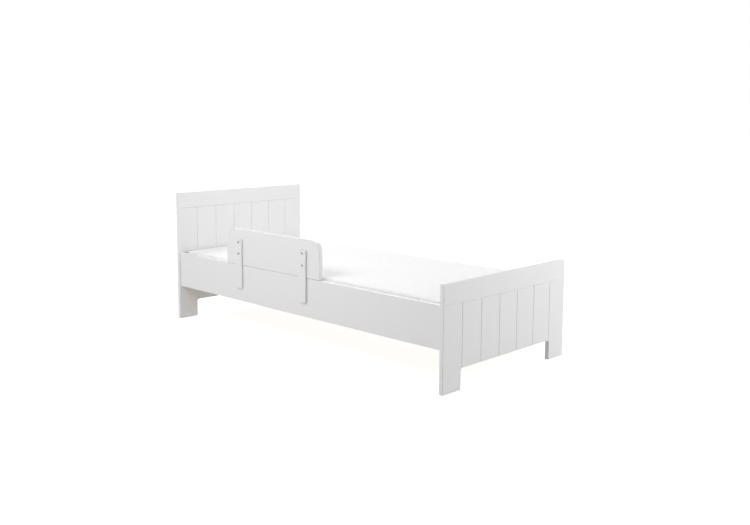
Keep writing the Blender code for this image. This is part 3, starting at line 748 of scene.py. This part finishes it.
# %% [markdown]
# ## Capping, resting and sewing
# Three things bring the blown-up form back to the bed. Each point's movement is capped, gently, so that
# the crown stays a few millimetres high. The underside rests on the slats: it is flat there and sags a
# millimetre between them. The long sides pull in between the corners. The seams come last, because
# remeshing would have erased them: the plane of each seam is cut into the mesh three times, and the
# middle line is pulled in, which makes the narrow valley of a sewn edge. At the foot end a flat channel
# is left for the zip.

# %% Settle the fabric and pull in its seams
SIDE_PULL = 0.0006
SLAT_SAG = 0.0012
SEAM_FROM_EDGE = 0.0072
SEAM_HALF_WIDTH = 0.0020
SEAM_DEPTH = 0.0012
CREASE_CORNER = 0.0188
CREASE_RIM = 0.0045
OFF_CORE = 0.0019
SEAM_SNAP = 0.0005
CUT_SNAP = 0.0004
ZIP_CHANNEL = 0.0065
ZIP_SEAT = 0.0008
FOOT_FACE = 0.006

zip_low, zip_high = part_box("mattress_zip")
zip_height = (zip_low.z + zip_high.z) / 2
zip_face = cover_high.x - ZIP_SEAT - SHRINK
core_low, core_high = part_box("mattress_core")
core_middle = (core_low + core_high) / 2
core_half = (core_high - core_low) / 2 + Vector((OFF_CORE, OFF_CORE, OFF_CORE))
slat_half = (slat_high.x - slat_low.x) / 2
seam_heights = (cover_low.z + SEAM_FROM_EDGE, cover_high.z - SEAM_FROM_EDGE)


def gently_capped(move, cap):
    """The move, never longer than cap and never kinked."""
    length = move.length
    return move * (cap * math.tanh(length / cap) / length) if length > 1e-9 else move


def over_gap(x):
    """0 over a slat, up to 1 in the middle between two."""
    step = (x - first_slat) / slat_pitch
    off = abs(step - round(step)) * slat_pitch - slat_half
    reach = slat_pitch / 2 - slat_half
    return math.sin(min(1.0, max(0.0, off / reach)) * math.pi / 2) ** 2


def from_core(place):
    """How far a point is outside the form that the foam holds the fabric to."""
    out = place - core_middle
    flat_x = max(abs(out.x) - core_half.x + CREASE_CORNER, 0.0)
    flat_y = max(abs(out.y) - core_half.y + CREASE_CORNER, 0.0)
    inner = max(abs(out.x) - core_half.x, abs(out.y) - core_half.y)
    flat = math.hypot(flat_x, flat_y) - CREASE_CORNER if flat_x and flat_y else inner
    beside = flat + CREASE_RIM
    above = abs(out.z) - core_half.z + CREASE_RIM
    return math.hypot(max(beside, 0.0), max(above, 0.0)) + min(max(beside, above), 0.0) - CREASE_RIM


def held_off_core(place):
    """The point, pushed straight out where the foam holds the fabric off."""
    short = -from_core(place)
    if short <= 0.0:
        return place
    steps = [Vector(step) * 0.0001 for step in ((1, 0, 0), (0, 1, 0), (0, 0, 1))]
    slope = Vector([from_core(place + step) - from_core(place - step) for step in steps])
    return place + slope.normalized() * short


def settled(start, end):
    """Where one point of the fabric comes to rest."""
    move = end - start
    move.z = gently_capped(Vector((0, 0, move.z)), TOP_CAP).z
    flat_move = gently_capped(Vector((move.x, move.y, 0)), SIDE_CAP)
    place = start + Vector((flat_move.x, flat_move.y, move.z))
    out = place - cover_middle
    lengthwise = min(1.0, abs(out.x) / cover_half.x)
    sideness = min(1.0, abs(out.y) / cover_half.y) ** 8
    place.y -= math.copysign(SIDE_PULL * sideness * (1.0 - lengthwise**2), out.y)
    under = min(1.0, max(0.0, (cover_middle.z - place.z) / cover_half.z))
    inside = (1.0 - lengthwise**12) * (1.0 - min(1.0, abs(out.y) / cover_half.y) ** 12)
    place = held_off_core(place)
    sag = SLAT_SAG * over_gap(place.x) * inside * under**6
    place.z = max(place.z, cover_low.z) - sag
    return place


def subdivided(mesh):
    """The mesh with every square cut in four and smoothed."""
    holder = in_scene("cover_subdivided", mesh)
    smoothing = holder.modifiers.new("finer squares", "SUBSURF")
    smoothing.levels = 1
    smoothing.render_levels = 1
    finer = evaluated_copy(holder)
    bpy.data.objects.remove(holder)
    return finer


for vertex, end in zip(cover_start.vertices, cover_places):
    vertex.co = settled(vertex.co.copy(), end)
cover = bmesh.new()
cover.from_mesh(subdivided(cover_start))
for vertex in cover.verts:
    vertex.co = held_off_core(vertex.co.copy())
for height in seam_heights:
    for offset in (-SEAM_HALF_WIDTH, 0.0, SEAM_HALF_WIDTH):
        bmesh.ops.bisect_plane(
            cover,
            geom=[*cover.verts, *cover.edges, *cover.faces],
            dist=CUT_SNAP,
            plane_co=(0.0, 0.0, height + offset),
            plane_no=(0.0, 0.0, 1.0),
        )
cover.normal_update()
for height in seam_heights:
    valley = [v for v in cover.verts if abs(v.co.z - height) < SEAM_SNAP]
    for vertex in valley:
        vertex.co -= vertex.normal * SEAM_DEPTH
for vertex in cover.verts:
    near_zip = abs(vertex.co.z - zip_height) < ZIP_CHANNEL and zip_low.y < vertex.co.y < zip_high.y
    if near_zip and vertex.co.x > cover_high.x - FOOT_FACE:
        vertex.co.x = zip_face
cover_surface = BVHTree.FromBMesh(cover)
mattress_cover = finish_piece("sewn_mattress_cover", cover, cover_knit, "mattress")
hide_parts("mattress_cover")

# %% [markdown]
# ## Topstitching
# Beside each seam a line of thread holds the folded edge down. Drawn as a bump it would vanish close up,
# so every stitch is a small rounded bar. One stitch is modelled and copied along both seams; a ray shot
# at the cover from outside finds the surface, so that each stitch lies on the fabric.

# %% Stitches along both seams
STITCH_LENGTH = 0.0036
STITCH_PITCH = 0.0052
STITCH_THICK = 0.0007
STITCH_FROM_SEAM = 0.0042
RAY_FROM = 0.01
RAY_REACH = 0.03
SIDE_DIRECTIONS = ((0, 1, 0), (-1, 0, 0), (0, -1, 0), (1, 0, 0))


def one_stitch():
    """A short bar with soft edges."""
    shape = bmesh.new()
    half = Vector((STITCH_LENGTH, STITCH_THICK, STITCH_THICK)) / 2
    block(shape, -half, half)
    round_edges(shape, shape.edges, STITCH_THICK * 0.3, 1)
    return as_pattern("stitch", shape)


def around_cover(pitch, height):
    """Points just outside the cover, and the way in, all round at one height."""
    corner = CORNER_ROUND + 0.002
    straight_x = 2 * (cover_half.x - corner)
    straight_y = 2 * (cover_half.y - corner)
    arc = math.pi / 2 * corner
    total = 2 * (straight_x + straight_y) + 4 * arc
    for number in range(int(total / pitch)):
        run = number * pitch
        turn = 0.0
        centre = Vector((cover_half.x - corner, -(cover_half.y - corner), 0.0))
        for side, direction in enumerate(SIDE_DIRECTIONS):
            step = Vector(direction)
            straight = straight_x if side % 2 else straight_y
            if run < straight:
                centre += step * run
                break
            run -= straight
            centre += step * straight
            if run < arc:
                turn += run / corner
                break
            run -= arc
            turn += math.pi / 2
        outward = Vector((math.cos(turn), math.sin(turn), 0.0))
        centre += cover_middle
        centre.z = height
        yield centre + outward * (corner + RAY_FROM), -outward


def stitch_places(height):
    """Where each stitch of one row lies on the fabric."""
    places = []
    for start, inward in around_cover(STITCH_PITCH, height):
        hit, normal, _, _ = cover_surface.ray_cast(start, inward, RAY_REACH)
        if hit is None:
            continue
        along = Vector((0.0, 0.0, 1.0)).cross(normal).normalized()
        up = normal.cross(along)
        turn = Matrix((along, normal, up)).transposed().to_4x4()
        places.append(Matrix.Translation(hit + normal * STITCH_THICK * 0.1) @ turn)
    return places


thread = bmesh.new()
stitch = one_stitch()
stitch_rows = (seam_heights[0] - STITCH_FROM_SEAM, seam_heights[1] + STITCH_FROM_SEAM)
for row_height in stitch_rows:
    repeat_shape(thread, stitch, stitch_places(row_height))
finish_piece("cover_topstitching", thread, thread_knit, "mattress")

# %% [markdown]
# ## The zip
# The cover opens at the foot end with a nylon zip. On children's mattresses the puller is left off, so
# that small hands can't open it, and only the bare slider is parked at one end. A zip is two woven tapes,
# two rows of teeth that mesh, and the slider. The teeth alternate up and down by half a pitch, which is
# what makes the line look meshed rather than like a ladder.

# %% Tapes, teeth and slider
TOOTH_PITCH = 0.0026
TOOTH_SIZE = Vector((0.0011, 0.0018, 0.0030))
TOOTH_SHIFT = 0.0007
TAPE_HALF = 0.0058
TAPE_THICK = 0.0005
TAPE_GAP = 0.0004
TAPE_SUNK = 0.0002
TAPE_SHORT = 0.001
TEETH_SHORT = 0.016
FIRST_TOOTH = 0.004
TOOTH_PROUD = 0.0007
SLIDER_LENGTH = 0.0095
SLIDER_HALF = 0.0036
SLIDER_PLATES = ((0.0, 0.0008), (0.0018, 0.0026))
SLIDER_TAPER = 0.62
SLIDER_FROM_END = 0.009
SLIDER_PROUD = 0.0001
SMALL_ROUND = 0.0003


def zip_tooth():
    """One tooth, a small block with soft edges."""
    shape = bmesh.new()
    block(shape, -TOOTH_SIZE / 2, TOOTH_SIZE / 2)
    round_edges(shape, shape.edges, SMALL_ROUND, 1)
    return as_pattern("zip_tooth", shape)


def zip_slider():
    """Two shield-shaped plates joined by a neck."""
    shape = bmesh.new()
    half = SLIDER_LENGTH / 2
    for near, far in SLIDER_PLATES:
        for vertex in block(shape, (near, -half, -SLIDER_HALF), (far, half, SLIDER_HALF)):
            if vertex.co.y > 0:
                vertex.co.z *= SLIDER_TAPER
    round_edges(shape, shape.edges, SMALL_ROUND, 2)
    neck = block(shape, (0.0006, -SLIDER_LENGTH * 0.42, -0.0009), (0.0020, -SLIDER_LENGTH * 0.2, 0.0009))
    round_edges(shape, edges_of(neck), 0.0002, 1)
    return as_pattern("zip_slider", shape)


closure = bmesh.new()
for side in (-1, 1):
    tape_low = min(side * TAPE_GAP, side * TAPE_HALF)
    tape_high = max(side * TAPE_GAP, side * TAPE_HALF)
    tape = block(
        closure,
        (zip_face - TAPE_SUNK, zip_low.y + TAPE_SHORT, zip_height + tape_low),
        (zip_face - TAPE_SUNK + TAPE_THICK, zip_high.y - TAPE_SHORT, zip_height + tape_high),
    )
    round_edges(closure, edges_of(tape), 0.00018, 1)
tooth_count = int((zip_high.y - zip_low.y - TEETH_SHORT) / TOOTH_PITCH)
tooth_places = []
for number in range(tooth_count):
    shift = TOOTH_SHIFT if number % 2 else -TOOTH_SHIFT
    along_zip = zip_low.y + FIRST_TOOTH + number * TOOTH_PITCH
    spot = (zip_face + TOOTH_PROUD, along_zip, zip_height + shift)
    tooth_places.append(Matrix.Translation(spot))
repeat_shape(closure, zip_tooth(), tooth_places)
slider_spot = Matrix.Translation((zip_face + SLIDER_PROUD, zip_high.y - SLIDER_FROM_END, zip_height))
repeat_shape(closure, zip_slider(), [slider_spot])
zip_piece = finish_piece("cover_zip", closure, nylon, "mattress", smooth=False)
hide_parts("mattress_zip")
print(f"{tooth_count} teeth")

# %% [markdown]
# ## Slat tapes
# Two webbing tapes run under the slats and keep them apart when the bed is put together. Each is one
# stretched band: held tight under every slat by a staple, and sagging slightly between. It starts as a
# grid along the bed, is bent by moving its rows, and gets its thickness from solidify.

# %% Two stretched tapes
TAPE_WIDTH = 0.020
WEB_THICK = 0.0011
TAPE_SAG = 0.0009
TAPE_STEPS = 240
TAPE_CURL = 0.00012
UNDER_SLAT = 0.0002


def slat_tape(name, node_name):
    """One tape in the place of a measured one, sagging between the slats."""
    low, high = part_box(node_name)
    length = high.x - low.x
    middle = (low + high) / 2
    shape = bmesh.new()
    bmesh.ops.create_grid(shape, x_segments=TAPE_STEPS, y_segments=6, size=0.5)
    bmesh.ops.scale(shape, vec=(length, TAPE_WIDTH, 1.0), verts=shape.verts)
    bmesh.ops.translate(shape, vec=middle, verts=shape.verts)
    for vertex in shape.verts:
        across = (vertex.co.y - middle.y) / (TAPE_WIDTH / 2)
        vertex.co.z += TAPE_CURL * across**6
        vertex.co.z -= TAPE_SAG * over_gap(vertex.co.x)
    bmesh.ops.solidify(shape, geom=shape.faces, thickness=WEB_THICK)
    heights = [vertex.co.z for vertex in shape.verts]
    lift = high.z + UNDER_SLAT - max(heights)
    bmesh.ops.translate(shape, vec=(0.0, 0.0, lift), verts=shape.verts)
    bmesh.ops.recalc_face_normals(shape, faces=shape.faces)
    band = finish_piece(name, shape, webbing, "bed_frame")
    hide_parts(node_name)


slat_tape("webbing_tape_front", "slat_tape_front")
slat_tape("webbing_tape_back", "slat_tape_back")

# %% [markdown]
# ## Staples
# A staple is a bent flat wire: its crown lies across the tape and its two legs are driven into the slat.
# A wire is easily made by sweeping: a small ring of points is placed, then extruded and moved to each
# next point of the path. The ring is kept square to the path by turning it halfway at each bend.

# %% Bend one staple and copy it under every slat
STAPLE_CROWN = 0.0105
STAPLE_LEG = 0.0065
STAPLE_WIRE = 0.00035
STAPLE_BEND = 0.0009
BEND_STEPS = 4
WIRE_FLATNESS = (1.5, 0.8, 1.0)
ON_TAPE = 0.0001


def staple_wire():
    """A staple across Y with its crown at height 0 and its legs upward."""
    path = [Vector((0.0, -STAPLE_CROWN / 2, STAPLE_LEG))]
    for step in range(BEND_STEPS + 1):
        turn = math.pi / 2 * step / BEND_STEPS
        across = -STAPLE_CROWN / 2 + STAPLE_BEND * (1 - math.cos(turn))
        path.append(Vector((0.0, across, STAPLE_BEND * (1 - math.sin(turn)))))
    path += [Vector((0.0, -point.y, point.z)) for point in reversed(path)]
    shape = bmesh.new()
    ring = bmesh.ops.create_circle(shape, cap_ends=True, segments=6, radius=STAPLE_WIRE)["verts"]
    bmesh.ops.scale(shape, vec=WIRE_FLATNESS, verts=ring)
    bmesh.ops.translate(shape, vec=path[0], verts=ring)
    faces = list(shape.faces)
    heading = Vector((0.0, 0.0, -1.0))
    for number in range(1, len(path)):
        grown = bmesh.ops.extrude_face_region(shape, geom=faces)["geom"]
        if number > 1:
            bmesh.ops.delete(shape, geom=faces, context="FACES_ONLY")
        verts = [item for item in grown if isinstance(item, bmesh.types.BMVert)]
        faces = [item for item in grown if isinstance(item, bmesh.types.BMFace)]
        ahead = path[min(number + 1, len(path) - 1)] - path[number]
        behind = path[number] - path[number - 1]
        wanted = behind.normalized()
        if ahead.length:
            wanted = (ahead.normalized() + wanted).normalized()
        bmesh.ops.translate(shape, vec=behind, verts=verts)
        turn = heading.rotation_difference(wanted).to_matrix()
        bmesh.ops.rotate(shape, cent=path[number], matrix=turn, verts=verts)
        heading = wanted
    bmesh.ops.recalc_face_normals(shape, faces=shape.faces)
    return as_pattern("staple", shape)


staples = bmesh.new()
staple_places = []
for tape_node in ("slat_tape_front", "slat_tape_back"):
    low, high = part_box(tape_node)
    for number in range(SLAT_COUNT):
        lean = math.radians((number * 37 + 11) % 13 - 6)
        spot = (first_slat + number * slat_pitch, (low.y + high.y) / 2, low.z + ON_TAPE)
        staple_places.append(Matrix.Translation(spot) @ Matrix.Rotation(lean, 4, "Z"))
repeat_shape(staples, staple_wire(), staple_places)
finish_piece("tape_staples", staples, steel, "bed_frame")
print(f"{len(staple_places)} staples")

# %% [markdown]
# ## Cross-head screws
# Countersunk wood screws hold the ledgers to the rails and three of the slats to the ledgers. A screw is a
# turned part, so it is spun: half of its outline goes round its axis once. The cross in its head is cut
# with a Boolean, the one tool for a recess that crosses round surfaces. It is cut once, and the finished
# screw is copied to its holes, each turned differently, as screws always end up.

# %% Turn one screw and cut its cross
SCREW_HEAD = 0.0036
SCREW_SHANK = 0.0018
SCREW_LENGTH = 0.029
SCREW_CONE = 0.0024
CROSS_SPAN = 0.0042
CROSS_WIDTH = 0.0010
CROSS_DEPTH = 0.0017
CROSS_TAPER = 0.55
RIDGE_FROM = 0.009
RIDGE_PITCH = 0.0016
RIDGE_ROOT = SCREW_SHANK * 0.72
SMOOTH_LENGTH = 0.012


def screw_blank():
    """A countersunk screw below height 0, with a ridged shank."""
    outline = [(0.0, -0.0001), (SCREW_HEAD - 0.0004, 0.0), (SCREW_HEAD, -0.0003), (SCREW_SHANK, -SCREW_CONE)]
    for number in range(int((SCREW_LENGTH - SMOOTH_LENGTH) / RIDGE_PITCH)):
        top = -RIDGE_FROM - number * RIDGE_PITCH
        outline += [(RIDGE_ROOT, top), (SCREW_SHANK, top - 0.0006), (RIDGE_ROOT, top - 0.0012)]
    outline += [(SCREW_SHANK * 0.6, -SCREW_LENGTH + 0.002), (0.0, -SCREW_LENGTH)]
    shape = bmesh.new()
    points = [shape.verts.new((radius, 0.0, height)) for radius, height in outline]
    edges = [shape.edges.new(pair) for pair in zip(points, points[1:])]
    bmesh.ops.spin(
        shape,
        geom=points + edges,
        cent=(0, 0, 0),
        axis=(0, 0, 1),
        angle=2 * math.pi,
        steps=20,
        use_merge=True,
    )
    bmesh.ops.remove_doubles(shape, verts=shape.verts, dist=1e-6)
    bmesh.ops.recalc_face_normals(shape, faces=shape.faces)
    return as_pattern("screw_blank", shape)


def cross_cutter():
    """Two crossed bars that narrow downwards."""
    shape = bmesh.new()
    for span_x, span_y in ((CROSS_SPAN, CROSS_WIDTH), (CROSS_WIDTH, CROSS_SPAN)):
        bar = block(shape, (-span_x / 2, -span_y / 2, -CROSS_DEPTH), (span_x / 2, span_y / 2, 0.001))
        for vertex in bar:
            if vertex.co.z < 0:
                vertex.co.x *= CROSS_TAPER
                vertex.co.y *= CROSS_TAPER
    return as_pattern("cross_cutter", shape)


def cut_cross(blank):
    """The screw's mesh with the cross cut into its head."""
    screw = in_scene("screw", blank)
    cutter = in_scene("cross", cross_cutter())
    cross = screw.modifiers.new("cross", "BOOLEAN")
    cross.object = cutter
    cross.solver = "EXACT"
    cross.use_self = True
    finished = evaluated_copy(screw)
    bpy.data.objects.remove(screw)
    bpy.data.objects.remove(cutter)
    return finished


slat_screw = cut_cross(screw_blank())
print(f"one screw: {len(slat_screw.polygons)} faces")

# %% [markdown]
# The slat screws stand upright and replace the plain measured ones. The ledger screws lie level, pointing
# at the rails, in the holes that the measured ledgers already have.

# %% Put the screws in their holes
LEDGER_SCREWS = 6
LEDGER_END = 0.090
SCREW_SUNK = 0.0002
SLAT_SCREW_TURN = 0.9
LEDGER_SCREW_TURN = 0.7

slat_screw_nodes = sorted(name for name in nodes if name.startswith("slat_screw"))
upright_places = []
for number, name in enumerate(slat_screw_nodes):
    low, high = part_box(name)
    spot = ((low.x + high.x) / 2, (low.y + high.y) / 2, high.z)
    upright_places.append(Matrix.Translation(spot) @ Matrix.Rotation(number * SLAT_SCREW_TURN, 4, "Z"))
slat_screws = bmesh.new()
repeat_shape(slat_screws, slat_screw, upright_places)
upright_screws = finish_piece("cross_head_slat_screws", slat_screws, screw_steel, "bed_frame", False)
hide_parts(*slat_screw_nodes)

level_places = []
for side, name in ((-1, "slat_ledger_front"), (1, "slat_ledger_back")):
    low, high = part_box(name)
    inner = high.y if side < 0 else low.y
    aim = Matrix.Rotation(-math.pi / 2 if side < 0 else math.pi / 2, 4, "X")
    for number in range(LEDGER_SCREWS):
        share = number / (LEDGER_SCREWS - 1) - 0.5
        spot_x = share * (high.x - low.x - 2 * LEDGER_END)
        spot = (spot_x, inner + side * SCREW_SUNK, (low.z + high.z) / 2)
        turn = Matrix.Rotation(number * LEDGER_SCREW_TURN + side, 4, "Z")
        level_places.append(Matrix.Translation(spot) @ aim @ turn)
ledger_screws = bmesh.new()
repeat_shape(ledger_screws, slat_screw, level_places)
finish_piece("cross_head_ledger_screws", ledger_screws, screw_steel, "bed_frame", False)
print(f"{len(upright_places)} upright and {len(level_places)} level screws")

# %% [markdown]
# ## Floor and light
# White furniture on white reads only by soft shade, so the light comes from large soft boxes round the
# bed and a pale surround. Two strong boxes stand behind the bed, one high at the head end and one low at
# the foot end, a third in front lights the guard, and three weak ones fill in. A dark flag in front of
# the near foot corner keeps that corner from going flat. The camera doesn't see the boxes or the flag.
# Floor and surround are overexposed, as in a catalogue picture: they look brighter to the camera than
# the light they give. The Standard view keeps white as white, where the default view would grey it.

# %% Studio floor, surround, soft boxes and flag
FLOOR_HALF = 40.0
FLOOR_WHITE = (0.5, 0.5, 0.5)
FLOOR_GLOW = 0.29
FLOOR_GLOW_SEEN = 0.80
FLOOR_GLOW_FAR = 1.0
FLOOR_FAR_FROM = 2.2
FLOOR_FAR_TO = 4.5
SURROUND_GLOW = 0.44
SURROUND_GLOW_SEEN = 1.0
SOFT_BOXES = {  # name: (place, aimed at, width, height, watts)
    "overhead": ((0.0, 0.0, 3.6), (0.0, 0.0, 0.0), 3.6, 2.4, 8.0),
    "back_high": ((-2.26, 2.26, 3.0), (0.0, 0.0, 0.3), 2.4, 1.8, 75.0),
    "right_low": ((2.83, 2.83, 1.0), (0.0, 0.0, 0.3), 2.4, 1.6, 59.0),
    "guard_side": ((-0.05, -1.95, 1.8), (-0.1, -0.38, 0.25), 1.6, 0.9, 24.5),
    "foot_side": ((2.4, 0.5, 1.5), (0.8, 0.1, 0.25), 1.0, 0.8, 5.0),
    "head_side": ((-1.5, -1.8, 1.5), (-0.6, -0.3, 0.25), 1.2, 0.9, 3.0),
}
FLAG_AT = (3.2, -3.1, 1.5)
FLAG_AIM = (0.0, 0.0, 0.3)
FLAG_SIZE = 3.6
FLAG_BLACK = (0.03, 0.03, 0.03)

scene.view_settings.view_transform = "Standard"
scene.view_settings.look = "None"


def aimed(place, target):
    """The turn that points a lamp from a place at a target."""
    return (Vector(target) - Vector(place)).to_track_quat("-Z", "Y").to_euler()


def brighter_when_seen(tree, light, seen):
    """A strength that is higher where the camera looks straight at it."""
    straight = add(tree, "LightPath").outputs["Is Camera Ray"]
    return plus(tree, light, times(tree, straight, calc(tree, "SUBTRACT", seen, light)))


def studio_panel(name, size, place, turn, colour):
    """A flat square of the studio, size metres from its middle to its edges."""
    shape = bmesh.new()
    bmesh.ops.create_grid(shape, x_segments=1, y_segments=1, size=size)
    mesh = as_pattern(name, shape)
    panel = in_scene(name, mesh)
    panel.location = place
    panel.rotation_euler = turn
    paint, tree, surface = new_finish(name)
    fill(tree, surface, {"Base Color": colour, "Roughness": 0.9})
    surface.inputs["Specular IOR Level"].default_value = 0.0
    mesh.materials.append(paint)
    panel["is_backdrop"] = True
    return panel


def soft_box(name, place, target, width, height, watts):
    """A rectangular lamp that the camera doesn't see."""
    data = bpy.data.lights.new(name, "AREA")
    data.shape = "RECTANGLE"
    data.size = width
    data.size_y = height
    data.energy = watts
    light = in_scene(name, data)
    light.location = place
    light.rotation_euler = aimed(place, target)
    light.visible_camera = False


floor = studio_panel("studio_floor", FLOOR_HALF, (0, 0, 0), (0, 0, 0), FLOOR_WHITE)
floor_tree = floor.data.materials[0].node_tree
floor_surface = floor_tree.nodes["Principled BSDF"]
floor_reach = add(floor_tree, "VectorMath", {0: here(floor_tree)}, operation="LENGTH").outputs["Value"]
floor_rise = {
    "Value": floor_reach,
    "From Min": FLOOR_FAR_FROM,
    "From Max": FLOOR_FAR_TO,
    "To Min": FLOOR_GLOW_SEEN,
    "To Max": FLOOR_GLOW_FAR,
}
floor_seen = add(floor_tree, "MapRange", floor_rise).outputs["Result"]
floor_glow = brighter_when_seen(floor_tree, FLOOR_GLOW, floor_seen)
fill(floor_tree, floor_surface, {"Emission Color": (1, 1, 1), "Emission Strength": floor_glow})
flag_turn = aimed(FLAG_AT, FLAG_AIM)
flag = studio_panel("flag", FLAG_SIZE / 2, FLAG_AT, flag_turn, FLAG_BLACK)
flag.visible_camera = False
for box_name, box_settings in SOFT_BOXES.items():
    soft_box(box_name, *box_settings)

surround = bpy.data.worlds.new("surround")
scene.world = surround
surround.use_nodes = True
surround_tree = surround.node_tree
surround_glow = brighter_when_seen(surround_tree, SURROUND_GLOW, SURROUND_GLOW_SEEN)
fill(surround_tree, surround_tree.nodes["Background"], {"Color": (1, 1, 1), "Strength": surround_glow})
print(f"{len(SOFT_BOXES)} soft boxes")

# %% [markdown]
# ## The size of the finished bed
# The finished bed must fill the same box as the measured one, apart from the few millimetres by which
# fabric may stand proud, so the finished bed's box is taken before the scene is closed.

# %% Take the finished bed's box
low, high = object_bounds()
